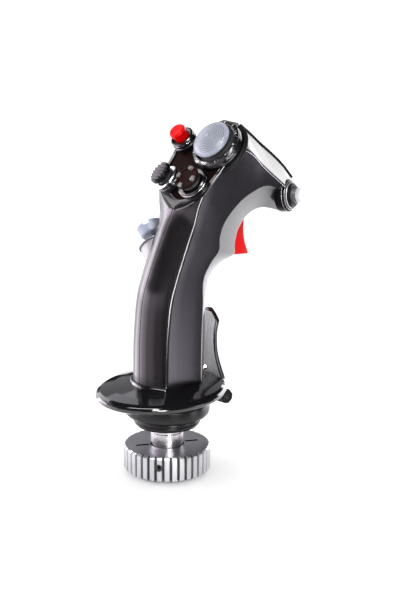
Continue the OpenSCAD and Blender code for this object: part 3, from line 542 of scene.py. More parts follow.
def shell_mesh(name, sign, flare):
    """A hollow half: outer skin, cavity, rim on the parting plane, and a web past the cavity's end."""
    verts, n_out = skin(LAST, flare, 0.0, sign)
    inner, n_in = skin(HOLLOW_END, flare, WALL, sign)
    base, m = len(verts), len(verts) // (n_out + 1)
    verts += inner
    faces = quads(n_out, m, loop=False) + quads(n_in, m, base, loop=False, flip=True)
    for k in range(n_in):
        a, b = k * m, base + k * m
        faces.append((a, a + m, b + m, b))
        a, b = k * m + m - 1, base + k * m + m - 1
        faces.append((a, b, b + m, a + m))
    faces += [(j, base + j, base + j + 1, j + 1) for j in range(m - 1)]
    faces.append([n_out * m + j for j in range(m)])
    faces.append([base + n_in * m + j for j in range(m)][::-1])
    web = [k * m for k in range(n_in, n_out + 1)]
    web += [k * m + m - 1 for k in range(n_out, n_in - 1, -1)]
    web += [base + n_in * m + m - 1, base + n_in * m]
    faces.append(web)
    return mesh_object(name, verts, faces, [satin], None, 40)


TRIM_AT = np.array([6.5, 32.8])       # the trim hat's place on the panel
PANEL = Place(trim.o - trim.r @ np.array([*TRIM_AT, 0]), trim.r)
PANEL_RECESS = 0.6
PANEL_T = 1.6


def cylinder(place, r, low, high, segments=96, r_high=None):
    """A closed cylinder or cone used as a cutter."""
    r_high = r if r_high is None else r_high
    verts = []
    for rr, z in ((r, low), (r_high, high)):
        for k in range(segments):
            a = 2 * math.pi * k / segments
            verts.append(place.at((rr * math.cos(a), rr * math.sin(a), z)))
    faces = [list(range(segments))[::-1], list(range(segments, 2 * segments))] + quads(1, segments)
    return mesh_object("cutter", verts, faces, [satin])


def block(place, low, high):
    """A box between two corners, used as a cutter."""
    xs, ys, zs = zip(low, high)
    verts = [place.at((x, y, z)) for z in zs for y in ys for x in xs]
    faces = [(0, 2, 3, 1), (4, 5, 7, 6), (0, 1, 5, 4), (2, 6, 7, 3), (0, 4, 6, 2), (1, 3, 7, 5)]
    return mesh_object("cutter", verts, faces, [satin])


def axis_frame(origin, direction):
    z = np.array(direction, float)
    z = z / np.linalg.norm(z)
    x = np.cross((0, 0, 1) if abs(z[2]) < 0.9 else (0, 1, 0), z)
    x = x / np.linalg.norm(x)
    return Place(origin, np.column_stack([x, np.cross(z, x), z]))


def cut_all(obj, cutters):
    """Subtracts the cutters one by one and removes them."""
    for c in cutters:
        mod = obj.modifiers.new("cut", "BOOLEAN")
        mod.operation = "DIFFERENCE"
        mod.solver = "MANIFOLD"
        mod.object = c
        bpy.context.view_layer.update()
        before = len(obj.data.polygons)
        apply_modifiers(obj)
        if not obj.data.polygons:
            raise RuntimeError(f"cut left nothing of {obj.name}, from {before} faces")
    for c in cutters:
        bpy.data.objects.remove(c)


SLOT_W = 9.2          # trigger slot
BOSS = 14.6           # seats of the trim hat's boss and of a hat's housing
HOUSING = 6.7
# Each shell screw's Y and Z, and the left skin's half-width there
SCREWS = [(-9, 66, 13.9), (10, 66, 13.6), (-8.9, 84, 13.4), (60, 156, 15.8)]
plunger_box = [np.array(c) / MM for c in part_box("paddle_plunger")]
PLUNGER_Z = (plunger_box[0][2] + plunger_box[1][2]) / 2
PLUNGER_BORE = 2.65
SCREW_BORE = 2.75
CUP_FLOOR = -12.5     # inside and underside of a hat's housing, below its seat
CUP_END = -13.2
RELEASE_BORE = 5.25
RELEASE_SEAT = 7.05
DISPLAY_SEAT = 7.55
COLLAR_SEAT = 9.05


def control_cutters(sign):
    out = [block(PANEL, (-60, -30, 0), (60, 80, 60))]
    out.append(cylinder(trim, BOSS + 0.05, -1.5, 30))
    out.append(cylinder(trim, 10, -6, -1.49, r_high=BOSS + 0.05))
    out.append(cylinder(trim, 8.25, -13.25, -5.99))
    slot = [(34, 112), (34, 134), (38, 148.5), (51, 148.5), (56, 144), (56, 112)]
    out.append(prism("cutter", SIDEWAYS, slot, -SLOT_W / 2, SLOT_W / 2, [satin], bevel=0))
    out.append(cylinder(axis_frame((0, 10, PLUNGER_Z), (0, 1, 0)), PLUNGER_BORE, 0, 20, 48))
    if sign > 0:
        out.append(cylinder(target, COLLAR_SEAT, -PANEL_RECESS, 20))
        out.append(cylinder(nose, COLLAR_SEAT, -4, 20))
        out.append(cylinder(nose, 4.8, -12.5, -3.9, 48))
    else:
        out.append(cylinder(display, DISPLAY_SEAT, -4.5, 20))
        out.append(cylinder(release, RELEASE_BORE, -13, 20))
        out.append(cylinder(release, RELEASE_SEAT, -1.4, 20))
        out.append(cylinder(side, 9.65, -13.2, 20))
        out.append(cylinder(side, 10.45, -0.02, 12))
        out.append(top_cutter())
        for y, z, w in SCREWS:
            out.append(cylinder(axis_frame((-w + WALL, y, z), (-1, 0, 0)), SCREW_BORE, 0, 12, 48))
    return out


def crossing(sign, flare, inset, height):
    """Where the loft's skin passes a plane parallel to the panel, as panel coordinates, bottom to top."""
    points = []
    for u in np.arange(6.5, 14.5, 0.01):
        line = [PANEL.r.T @ (np.array(p) - PANEL.o) for p in ring(u, flare, inset, sign)]
        above = [q[2] - height for q in line]
        if above[0] <= 0:
            continue
        for i in range(len(line) - 1):
            if above[i] > 0 >= above[i + 1]:
                t = above[i] / (above[i] - above[i + 1])
                q = line[i] * (1 - t) + line[i + 1] * t
                points.append((q[0], q[1]))
                break
    return np.array(points)


def resampled(points, step):
    points = np.array(points, float)
    length = np.r_[0, np.cumsum(np.linalg.norm(np.diff(points, axis=0), axis=1))]
    count = max(3, int(length[-1] / step))
    t = np.linspace(0, length[-1], count + 1)
    return np.column_stack([np.interp(t, length, points[:, k]) for k in range(points.shape[1])])


def tube(name, path, r, mats, closed=False, segments=10):
    """Round bar along a path."""
    path = np.array(path, float)
    n = len(path)
    verts = []
    for i in range(n):
        a = path[(i - 1) % n] if closed or i > 0 else path[0]
        b = path[(i + 1) % n] if closed or i < n - 1 else path[-1]
        t = (b - a) / np.linalg.norm(b - a)
        x = np.cross(t, PANEL.r[:, 2] if abs(t @ PANEL.r[:, 2]) < 0.9 else (0, 0, 1))
        x = x / np.linalg.norm(x)
        y = np.cross(t, x)
        for k in range(segments):
            c = 2 * math.pi * k / segments
            verts.append(path[i] + r * (math.cos(c) * x + math.sin(c) * y))
    faces = [tuple(v % len(verts) for v in q) for q in quads(n if closed else n - 1, segments)]
    if not closed:
        faces.append(list(range(segments))[::-1])
        faces.append(list(range((n - 1) * segments, n * segments)))
    return mesh_object(name, verts, faces, mats)


TOP_R = 19.3          # radius of the left half's top corner round the trim hat
TOP_FLARE = 1.1       # how fast that corner widens below the panel


def round_top(points, sign, r):
    """Pulls the left half's outline in to a circle round the trim hat, above the hat's centre."""
    out = []
    for p in points:
        v = p - TRIM_AT
        far = np.linalg.norm(v)
        if sign < 0 and v[1] > 0 and far > r:
            p = TRIM_AT + v * r / far
        out.append(p)
    return np.array(out)


def top_cutter():
    """What lies outside a flared cone round the trim hat, above the hat's centre on the left."""
    box = block(trim, (-50, 0, -14), (0.01, 40, 3))
    cone = cylinder(trim, TOP_R + 14 * TOP_FLARE, -14.5, 0, 128, r_high=TOP_R)
    ring = cylinder(trim, TOP_R, -0.01, 4, 128)
    cut_all(box, [cone, ring])
    return box


def outer_solid(name, sign, flare):
    """One half of the casing as a filled solid, from its outer skin alone."""
    verts, rows = skin(LAST, flare, 0.0, sign)
    m = len(verts) // (rows + 1)
    faces = quads(rows, m) + [list(range(m))[::-1], list(range(rows * m, (rows + 1) * m))]
    return mesh_object(name, verts, faces, [satin], None, 40)


def head_wall():
    """Closes the left half where its top corner is rounded off round the trim hat."""
    wall = outer_solid("head_wall", -1, 1.0)
    inner = cylinder(trim, TOP_R - WALL + 15.5 * TOP_FLARE, -15.5, 0, 128, r_high=TOP_R - WALL)
    cut_all(wall, [top_cutter(), inner, block(trim, (-90, -150, -160), (90, 0, 90)),
                   block(trim, (0, -1, -160), (90, 90, 90)), block(trim, (-90, -1, -160), (90, 90, -13.8)),
                   block(trim, (-90, -1, -0.3), (90, 90, 90)), cylinder(release, 6.85, -14, 20)])
    return shade(wall, 38)


place_on(head_wall(), "grip", slot="satin_black")
SIDES = [("left", -1, 1.0), ("right", 1, 0.0)]
for word, sign, flare in SIDES:
    shell = shell_mesh(f"shell_{word}", sign, flare)
    cut_all(shell, control_cutters(sign))
    shade(shell, 38)
    place_on(shell, "grip", f"grip_shell_{word}", slot="satin_black")
    outer = round_top(crossing(sign, flare, 0.0, -0.22), sign, TOP_R - 0.1)
    inner = round_top(crossing(sign, flare, WALL, -0.05), sign, TOP_R - 2.5)
    path = [PANEL.at((x - sign * 0.30, y, -0.30)) for x, y in resampled(outer, 0.7)]
    place_on(tube(f"rim_edge_{word}", path, 0.45, [gloss]), "grip", slot="gloss_black")
    path = [PANEL.at((x + sign * 0.1, y, -0.12)) for x, y in resampled(inner, 0.7)]
    place_on(tube(f"rim_lip_{word}", path, 0.22, [gloss]), "grip", slot="gloss_black")


def edge_path(first, last, sign, flare, below=None):
    """Along the head's top edge, or along its side just below the chamfer, between two stations."""
    path = []
    for u in np.linspace(first, last, 60):
        s = spline(STATIONS, u)
        rear, front = s[0:2], s[2:4]
        direction = (front - rear) / np.linalg.norm(front - rear)
        grow = flare * s[11]
        half, depth = (s[4] + grow * s[4] / 18, 0.0) if below is None else (s[5] + grow, s[6] + below)
        y, z = rear + direction * depth
        p = trim.r.T @ (np.array((sign * half, y, z)) - trim.o)
        if p[2] < -4 or (p[2] < -0.4 and math.hypot(p[0], p[1]) > 14.9):
            path.append((sign * half, y, z))
    return resampled(path, 0.6)


for word, sign, flare in SIDES:
    path = edge_path(12.6 if sign > 0 else 13.2, 17.3, sign, flare)
    place_on(tube(f"head_edge_{word}", path, 0.75, [edge_black]), "grip", slot="dark_metal")
    # Painted highlight: a thin bar of bright metal along the head's side, just below the chamfer, stands for
    # the highlight on that crease.
    path = edge_path(11.6, 17.3, sign, flare, 1.3)
    place_on(tube(f"head_crease_highlight_{word}", path, 0.22, [bright_metal_and_highlight]), "grip", slot="steel")

rims = {sign: crossing(sign, flare, WALL + 0.05, -PANEL_RECESS) for word, sign, flare in SIDES}
outline = [tuple(p) for p in resampled(rims[1], 0.8)]
outline += [tuple(p) for p in resampled(round_top(rims[-1], -1, TOP_R - 2.6), 0.8)][::-1]
plate = prism("panel", PANEL, outline, -PANEL_RECESS - PANEL_T, -PANEL_RECESS, [panel_paint], bevel=0)
cut_all(plate, [cylinder(trim, BOSS + 0.05, -5, 30), cylinder(target, HOUSING + 0.05, -14, 20),
                cylinder(target, COLLAR_SEAT, -PANEL_RECESS - 0.01, 20),
                cylinder(display, DISPLAY_SEAT, -14, 20), cylinder(release, RELEASE_BORE, -13, 20),
                cylinder(release, RELEASE_SEAT, -1.4, 20)])
shade(plate, 35)
place_on(plate, "grip", "head_panel", slot="panel_brown")


# ---------------------------------------------------------------- handrest, discs, neck, nut
def turned_bands(obj, place):
    """Stores lathe coordinates: the angle as a point on a circle, and the radius plus the height."""
    co = (np.array([v.co for v in obj.data.vertices], float) / MM - place.o) @ place.r
    a = np.arctan2(co[:, 1], co[:, 0])
    r = np.hypot(co[:, 0], co[:, 1])
    data = np.column_stack([np.cos(a), np.sin(a), r + co[:, 2]]).astype(np.float32)
    attr = obj.data.attributes.new("turn", "FLOAT_VECTOR", "POINT")
    attr.data.foreach_set("vector", data.ravel())
    return obj


def turned(name, place, profile, mats, body, replaced, slot, **kw):
    obj = lathe(name, place, profile, mats, **kw)
    turned_bands(obj, place)
    return place_on(obj, body, *replaced, slot=slot)


FLANGE_Y = -4.0
ASPECT = 1.2
RX = 32.0


def foot_outline(grow):
    half = half_section(STATIONS[0], 0, -grow)
    y0 = STATIONS[0][0]
    right = [(p[0], y0 + p[1]) for p in half]
    return right + [(-x, y) for x, y in right[-2:0:-1]]


def oval_flange():
    profile = [(0, 44), (RX - 5, 44.1), (RX - 2.4, 44.8), (RX - 0.7, 46), (RX, 47.7), (RX - 0.7, 49.3),
               (RX - 2.4, 50.4), (RX - 8, 51.8), (RX - 16, 53), (0, 53.4)]
    radii = [0, 0.4, 1.8, 1.2, 1.2, 1.2, 1.8, 6, 6, 0]
    obj = lathe("handrest", WORLD, profile, [gloss], None, 192, radii, closed=False, smooth=60, steps=8)
    for v in obj.data.vertices:
        v.co.y = v.co.y * ASPECT + FLANGE_Y * MM
    cut_all(obj, [block(WORLD, (-10.5, 29.2, 40), (10.5, 50, 60)), cylinder(WORLD, 9.12, 40, 60),
                  cylinder(axis_frame((0, 10, PLUNGER_Z), (0, 1, 0)), PLUNGER_BORE, 0, 20, 64)])
    return shade(obj, 40)


place_on(oval_flange(), "grip", "handrest_flange", slot="gloss_black")

BEAD_Z, BEAD_SLOPE = 54.4, math.tan(math.radians(4))


def foot_bead():
    """Rounded collar of the flange round the handle's foot, with its top sloping down to the front."""
    section = [(-0.05, -2.6), (2.1, -2.6), (1.35, -1.4), (1.2, -0.5), (0.85, 0.0), (0.3, 0.05),
               (-0.05, -0.25)]
    rings = []
    for grow, dz in section:
        foot = foot_outline(grow)
        base = resampled(foot + foot[:1], 0.9)[:-1]
        rings.append([(x, y, BEAD_Z - BEAD_SLOPE * (y + 19.4) + dz) for x, y in base])
    n = min(len(r) for r in rings)
    verts = []
    for r in rings:
        loop = np.array(r + r[:1])
        for t in np.linspace(0, len(r), n, endpoint=False):
            i = int(t)
            verts.append(loop[i] * (1 - (t - i)) + loop[i + 1] * (t - i))
    return mesh_object("foot_bead", verts, quads(len(rings) - 1, n), [gloss], None, 50)


place_on(foot_bead(), "grip", slot="gloss_black")

UR, LR, NR = 23.5, 18.4, 9.1
turned("upper_cone", WORLD, [(NR + 0.02, 33), (UR - 4.4, 33), (UR - 1.6, 33.9), (UR - 0.4, 35.2), (UR, 37),
                             (UR, 41.2), (UR - 0.5, 41.5), (UR - 0.5, 41.9), (UR, 42.2), (UR, 43.4),
                             (UR - 0.6, 44), (NR + 0.02, 44)], [disc_paint], "grip", ["upper_disc"],
       "disc_black", radii=0.35)
turned("lower_cone", WORLD, [(NR + 0.02, 27.3), (LR - 3.0, 27.3), (LR - 1.2, 28.0), (LR - 0.3, 29.2),
                             (LR, 30.2), (LR - 0.5, 30.5), (LR - 0.5, 31.0), (LR, 31.3), (LR - 0.1, 32.3),
                             (LR - 0.8, 33), (NR + 0.02, 33)], [disc_paint], "grip", ["lower_disc"],
       "disc_black", radii=0.3)
turned("neck", WORLD, [(7, 10.9), (7, 47.5), (NR, 47.5), (NR, 25.2), (NR - 0.35, 24.9), (NR - 0.35, 23.7),
                       (NR, 23.4), (NR, 17.6), (NR - 0.5, 17.2), (NR - 0.5, 11.4), (16.9, 11.4),
                       (16.9, 8.6), (12, 8.6), (12, 10.9)], [neck_metal], "grip", ["neck_tube"], "steel",
       radii=0.15)

NUT_R, NUT_H, GROOVES = 24.0, 16.0, 36
TR = 17.0


def off_groove(x, y):
    """How far round from the nearest grip groove, 0 at its middle and 1 halfway to the next."""
    return abs((math.atan2(y, x) / (2 * math.pi) * GROOVES) % 1.0 - 0.5) * 2


def nut_ring():
    """The coupling nut's turned blank, with the grip grooves cut by moving its outer points inward and a
    painted shade of dark metal in the middle of each groove.
    """
    profile = [(TR + 1, 0), (19.2, 0), (20.6, 1.4), (20.6, 2.2), (NUT_R - 0.8, 2.2), (NUT_R, 3.0),
               (NUT_R, NUT_H - 0.9), (NUT_R - 0.9, NUT_H), (NR + 0.3, NUT_H), (NR + 0.3, 12), (TR + 0.6, 12),
               (TR + 0.6, 8.2)]
    z = 8.0
    while z > 1.2:
        profile += [(TR, z), (TR, z - 0.3), (TR + 0.55, z - 0.75), (TR + 0.55, z - 0.9)]
        z -= 1.2
    profile += [(TR, 1.0)]
    obj = lathe("knurled_nut", WORLD, profile, [nut_metal, nut_face], segments=GROOVES * 16, radii=0.22,
                bands=lambda r, zz: 1 if zz > NUT_H - 0.02 and r < NUT_R - 0.95 else 0, smooth=30)
    for v in obj.data.vertices:
        x, y, zz = v.co / MM
        r = math.hypot(x, y)
        if r > NUT_R - 1.1 and zz > 2.25:
            depth = 1.1 * max(0.0, min(1.0, (0.36 - off_groove(x, y)) / 0.12))
            top = max(0.0, min(1.0, (NUT_H + 0.02 - zz) / 0.9))
            k = (r - depth * (0.35 + 0.65 * top)) / r
            v.co.x *= k
            v.co.y *= k
    # Painted shade: faces in the middle of each groove take the dark metal.
    obj.data.materials.append(nut_groove_shade)
    for f in obj.data.polygons:
        x, y, zz = f.center / MM
        if math.hypot(x, y) > NUT_R - 1.5 and zz > 2.3 and off_groove(x, y) < 0.27:
            f.material_index = 2
    return obj


nut = nut_ring()
set_screw = (math.cos(math.radians(-51)), math.sin(math.radians(-51)), 0)
cut_all(nut, [cylinder(axis_frame((0, 0, 10.3), set_screw), 2.1, 10, 30, 48)]
        + [block(WORLD.spun(a), (10.2, -1.0, NUT_H - 1), (17.5, 1.0, NUT_H + 2)) for a in (64, 244)])
shade(nut, 30)
turned_bands(nut, WORLD)
place_on(nut, "nut", "coupling_nut", slot="aluminium")


# ---------------------------------------------------------------- trim hat
R = 11.0
RIDGES = np.linspace(1.6, 9.9, 11)    # radii of the dome's steps
RIDGE_DROP = 0.11
DOME = np.array([(0, 12.0), (1.5, 11.97), (3.4, 11.8), (6.2, 11.2), (8.4, 10.5), (10.0, 9.6)])
top = [(float(r), float(np.interp(r, *DOME.T) + RIDGE_DROP * (sum(r < q for q in RIDGES) - len(RIDGES) / 2)))
       for r in np.linspace(0, DOME[-1, 0], 120)]
# Painted shade: faces at each step of the dome take the darker pale, standing for the shade in its grooves.
turned("trim_cap", trim, top + [(R - 0.25, 9.0), (R, 8.6), (R, 7.6), (R - 0.6, 7.0), (0, 7.0)],
       [pale_plastic, cap_groove_shade], "trim_cap", ["trim_hat_cap"], "pale_cap", radii=0.03, closed=False,
       segments=160, smooth=24, steps=2,
       bands=lambda r, z: 1 if z > 9.3 and min(abs(r - q) for q in RIDGES) < 0.13 else 0)
BR = 14.6
turned("trim_bezel", trim, [(11.7, 3), (BR - 0.35, 3), (BR - 0.35, 3.25), (BR, 3.35), (BR, 3.9),
                            (BR - 0.9, 4.9), (12.2, 5), (11.7, 4.6)], [worn], "grip", ["trim_hat_bezel"],
       "dark_metal", radii=0.22, segments=160)
turned("trim_boot", trim, [(3.6, 1), (11.3, 1), (11.3, 3.4), (10.6, 4.1), (10.1, 3.9), (9.6, 4.5),
                           (9.0, 4.3), (8.4, 4.8), (7.6, 4.5), (6.8, 4.9), (6.0, 4.5), (5.4, 4.6),
                           (3.6, 3.6)], [rubber], "grip", ["trim_hat_boot"], "rubber", radii=0.25)
turned("trim_boss", trim, [(5.4, CUP_FLOOR), (5.4, 1), (11.4, 1), (11.4, 3), (14.4, 3), (14.4, 2.35),
                           (BR - 0.05, 2.2), (BR, 1.2), (BR, -1.5), (10, -6), (8.2, -6), (8.2, CUP_END),
                           (0, CUP_END), (0, CUP_FLOOR)], [dark_metal], "grip", ["trim_hat_housing"],
       "dark_metal", radii=0.3, segments=160)
gasket = [trim.spun(a).at((15.3, 0, -2.1)) for a in range(0, 360, 3)]
place_on(tube("trim_gasket", gasket, 1.4, [edge_black], closed=True, segments=16), "grip", slot="dark_metal")
for k in range(12):
    wide = 0.16 if k % 3 else 0.3
    mark = prism(f"bezel_tick_{k:02d}", trim.spun(30 * k + 8).moved((13.35, 0, 4.93)),
                 [(-0.6, -wide), (0.6, -wide), (0.6, wide), (-0.6, wide)], -0.05, 0.07, [white_cap], 0.03, 1)
    place_on(mark, "grip", slot="pale_cap")

# ---------------------------------------------------------------- target hat
TCR = 7.0
turned("target_cap", target, [(0, 4.8), (TCR - 0.9, 4.8), (TCR, 5.7), (TCR - 0.1, 6.9), (TCR - 0.9, 7.25),
                              (TCR - 1.6, 7.1), (TCR - 2.2, 6.95), (0, 6.85)],
       [brown_cap], "target_cap", ["target_hat_cap"], "brown_cap", radii=0.25, closed=False)


def stem(word, place, high):
    """Rod from the cardan's pivot up into the cap."""
    tip = PIVOT_DEPTH + high
    turned(f"{word}_stem", place.moved((0, 0, -PIVOT_DEPTH)),
           [(0, -1.5), (2.3, -1.5), (2.3, 1.5), (1.5, 1.5), (1.5, tip), (0, tip)],
           [steel], f"{word}_cap", [], "steel", radii=0.1, closed=False, segments=48)


stem("target", target, 5.6)
PRONG = rounded([(-1.1, -1.2), (1.0, -1.7), (1.35, 0), (1.0, 1.7), (-1.1, 1.2), (-1.1, -1.2)], 0.3, 3)
for k in range(4):
    prong = prism(f"target_prong_{k}", target.spun(90 * k).moved((5.35, 0, 6.8)), PRONG[:-1], -0.2, 1.35,
                  [prong_metal], 0.35)
    place_on(prong, "target_cap", slot="dark_metal")
# Painted highlight: a band of bright metal round the collar's step stands for the arc of light it catches.
turned("target_collar", target, [(6.75, -0.6), (9, -0.6), (9, 0.9), (8.6, 1.1), (8.6, 1.5), (8.9, 1.7),
                                 (8.8, 2.2), (8.1, 2.8), (5.8, 2.8), (5.8, 1.6), (6.75, 1.6)],
       [dark_metal, bright_metal_and_highlight], "grip", ["target_hat_collar"], "dark_metal", radii=0.15,
       bands=lambda r, z: 1 if r > 8.45 and 1.0 < z < 1.75 else 0)
turned("target_gaiter", target, [(4.3, 2.2), (5.6, 1.9), (5.6, 2.6), (5.3, 3.2), (5.0, 3.0), (4.7, 3.6),
                                 (4.3, 3.6)], [rubber], "grip", [], "rubber", radii=0.2, segments=64)

# ---------------------------------------------------------------- display hat
DR = 6.5


def ridged_cap():
    """Cap with rounded ridges running across its face; its outline is a circle."""
    n, rings = 96, 26
    spots = []
    for i in range(rings + 1):
        r = DR * (i / rings) ** 0.9
        edge = max(0.0, (r - (DR - 0.9)) / 0.9)
        for k in range(n):
            a = 2 * math.pi * k / n
            wave = 0.5 + 0.5 * math.cos(2 * math.pi * r * math.sin(a) / 1.9)
            spots.append((r, a, 6.25 + 0.85 * wave ** 1.3 - 0.55 * (r / DR) ** 2 - 1.0 * edge ** 2.5))
    skirt = [(5.2, DR), (4.2, DR), (3.6, DR), (3.0, DR - 0.5), (2.6, DR - 1.2), (2.6, 0.05)]
    spots += [(r, 2 * math.pi * k / n, z) for z, r in skirt for k in range(n)]
    verts = [display.at((r * math.cos(a), r * math.sin(a), z)) for r, a, z in spots]
    rows = len(verts) // n - 1
    faces = quads(rows, n, flip=True) + [list(range(rows * n, (rows + 1) * n))[::-1]]
    return rework(mesh_object("display_cap", verts, faces, [ridge_black], None, 45), 45, join_doubles)


place_on(ridged_cap(), "display_cap", "display_hat_cap", slot="dark_metal")
stem("display", display, 3.6)
turned("display_ring", display, [(5.6, 0), (7.5, 0), (7.45, 0.5), (6.9, 0.95), (5.8, 0.95)],
       [bright_metal_and_highlight], "grip", ["display_hat_collar"], "steel", radii=0.2)
turned("display_boot", display, [(3.8, 0.6), (4.8, 0.6), (4.8, 1.0), (4.4, 1.2), (4.6, 1.5), (4.2, 1.9),
                                 (3.8, 1.9)], [rubber], "grip", [], "rubber", radii=0.15, segments=64)
turned("display_base", display, [(5.4, CUP_FLOOR), (5.4, 0), (7.5, 0), (7.5, -1.1), (7.25, -1.3),
                                 (7.25, -1.6), (7.5, -1.8), (7.5, -4.5), (6.7, -4.5), (6.7, CUP_END),
                                 (0, CUP_END), (0, CUP_FLOOR)], [dark_metal], "grip",
       ["display_hat_housing"], "dark_metal", radii=0.15)

# ---------------------------------------------------------------- side hat
SR = 7.5


def castle_cap():
    profile = [(0, 5.8), (SR - 1.6, 5.8), (SR - 0.8, 6.6), (SR - 0.3, 10.7), (SR, 11.4), (SR - 0.4, 12.3),
               (0, 12.3)]
    obj = lathe("side_cap", side, profile, [blue_grey], closed=False, radii=0.3, segments=96)
    cut_all(obj, [block(side.spun(a), (-9, -1.9, 10.5), (9, 1.9, 15)) for a in (45, 135)])
    return round_edges(obj, 0.22, 2, 35, 40)


place_on(castle_cap(), "side_cap", "side_hat_cap", slot="blue_grey_cap")
turned("side_plate", side, [(3.4, 0), (10.4, 0), (10.4, 0.8), (3.4, 0.8)], [barrel_metal], "grip",
       ["side_hat_plate"], "steel", radii=0.12)
turned("side_boot", side, [(3.6, 0.8), (5.6, 0.8), (5.6, 1.4), (5.0, 1.9), (5.3, 2.4), (4.6, 2.9),
                           (4.9, 3.3), (3.6, 3.8)], [rubber], "grip", ["side_hat_boot"], "rubber",
       radii=0.2)
# Painted light: the housing takes a grey that stands for the light falling on it.
turned("side_base", side, [(5.4, CUP_FLOOR), (5.4, 0), (9.6, 0), (9.6, CUP_END), (0, CUP_END),
                           (0, CUP_FLOOR)], [painted_lit_housing], "grip", ["side_hat_housing"], "steel", radii=0.3)

# ---------------------------------------------------------------- release button
RB = 4.7
turned("release_cap", release, [(0, -4), (3.9, -4), (3.9, 7.4), (4.15, 8.1), (RB, 8.7), (RB, 10.1),
                                (RB - 0.5, 10.8), (RB - 1.3, 11.0), (RB - 1.9, 10.85), (0, 10.8)], [red],
       "release_button", ["release_button"], "signal_red", radii=0.35, closed=False, steps=6)
RC = 7.0
# Painted highlight: two bands of bright metal in the collar's steps stand for the thin lines of light on it.
turned("release_ring", release, [(4.2, -9), (5.2, -9), (5.2, -1.4), (RC, -1.4), (RC, 1.9), (RC - 0.5, 2.1),
                                 (RC - 0.5, 2.7), (RC - 0.1, 2.9), (RC - 0.1, 3.9), (RC - 0.45, 4.05),
                                 (RC - 0.45, 4.35), (RC - 0.15, 4.5), (RC - 0.2, 5.1), (RC - 0.8, 5.6),
                                 (RC - 1.4, 5.6), (RC - 1.9, 5.0), (4.2, 5.0)],
       [dark_metal, bright_metal_and_highlight], "grip", ["release_collar"], "dark_metal", radii=0.18,
       bands=lambda r, z: 1 if (r > 6.4 and (2.15 < z < 2.65 or 4.05 < z < 4.35)) else 0)
turned("release_boss", release, [(5.3, -1.45), (6.9, -1.45), (6.9, -13.4), (6.3, -14), (0, -14),
                                 (0, CUP_END), (5.3, CUP_END)], [satin], "grip", [], "satin_black",
       radii=0.3, closed=False)

# ---------------------------------------------------------------- nose button
NB = 4.4
turned("nose_barrel", nose, [(0, -5), (NB, -5), (NB, 6.6), (NB - 0.35, 6.8), (NB - 0.35, 7.0),
                             (NB - 0.05, 7.2), (NB - 0.1, 7.9), (NB - 0.6, 8.4), (NB - 1.2, 8.5), (0, 8.5)],
       [barrel_metal, tip_white], "nose_button", ["nose_button"], "polished_steel", radii=0.2, closed=False,
       bands=lambda r, z: 1 if z > 6.7 else 0)
NC = 9.0
# Painted highlight: bands of grey metal on the collar's steps stand for the rings of light they catch.
turned("nose_rings", nose, [(4.7, -4), (NC, -4), (NC, 0.6), (NC - 1, 0.9), (NC - 1, 1.8), (NC - 1.8, 2.0),
                            (NC - 1.8, 2.8), (NC - 2.8, 3.0), (NC - 2.8, 3.8), (4.7, 3.8)],
       [collar_black, ring_highlight_metal], "grip", ["nose_collar"], "dark_metal", radii=0.2, steps=3,
       bands=lambda r, z: 1 if r > 6.0 and (0.15 < z < 0.62 or 1.35 < z < 1.85 or 2.35 < z < 2.85) else 0)

# ---------------------------------------------------------------- trigger
blade = [(49.2, 143.5), (52.8, 138.6), (51.8, 132.8), (51.8, 127.5), (53.0, 121.8), (55.4, 115.9),
         (54.7, 115.2), (40.6, 116.8), (39.6, 119), (39.2, 130), (40.6, 141)]
place_on(prism("trigger_blade", SIDEWAYS, closed_outline(blade, 4.0), -4, 4, [red], 0.9, 4, 50),
         "trigger", "trigger", slot="signal_red")

# ---------------------------------------------------------------- paddle
PW = 9.0
PIVOT = (36.0, 37.0)
front = [(28.8, 88), (28.2, 84.3), (26.7, 78.2), (26.3, 71.8), (26.8, 65.3), (28.3, 58.8), (30.4, 52.6),
         (32.6, 47.3), (33.2, 41.4)]
back = [(31.6, 88), (30.6, 83.2), (29.1, 77.5), (28.8, 71.8), (29.3, 65.9), (30.8, 59.8), (33.1, 53.4),
        (35.0, 48.3), (36.6, 42.0)]


def along(points, count):
    """Points at even steps on a smooth curve through the given ones."""
    rows = np.array(points, float)
    return np.array([spline(rows, v) for v in np.linspace(0, len(rows) - 1, count)])


def paddle_half_width(z):
    knots = [(30, 6.6), (45, 6.6), (48.5, PW), (82.6, PW), (84.8, PW - 2.4), (86.8, PW - 5.2), (88, 1.6)]
    return float(np.interp(z, [k[0] for k in knots], [k[1] for k in knots]))


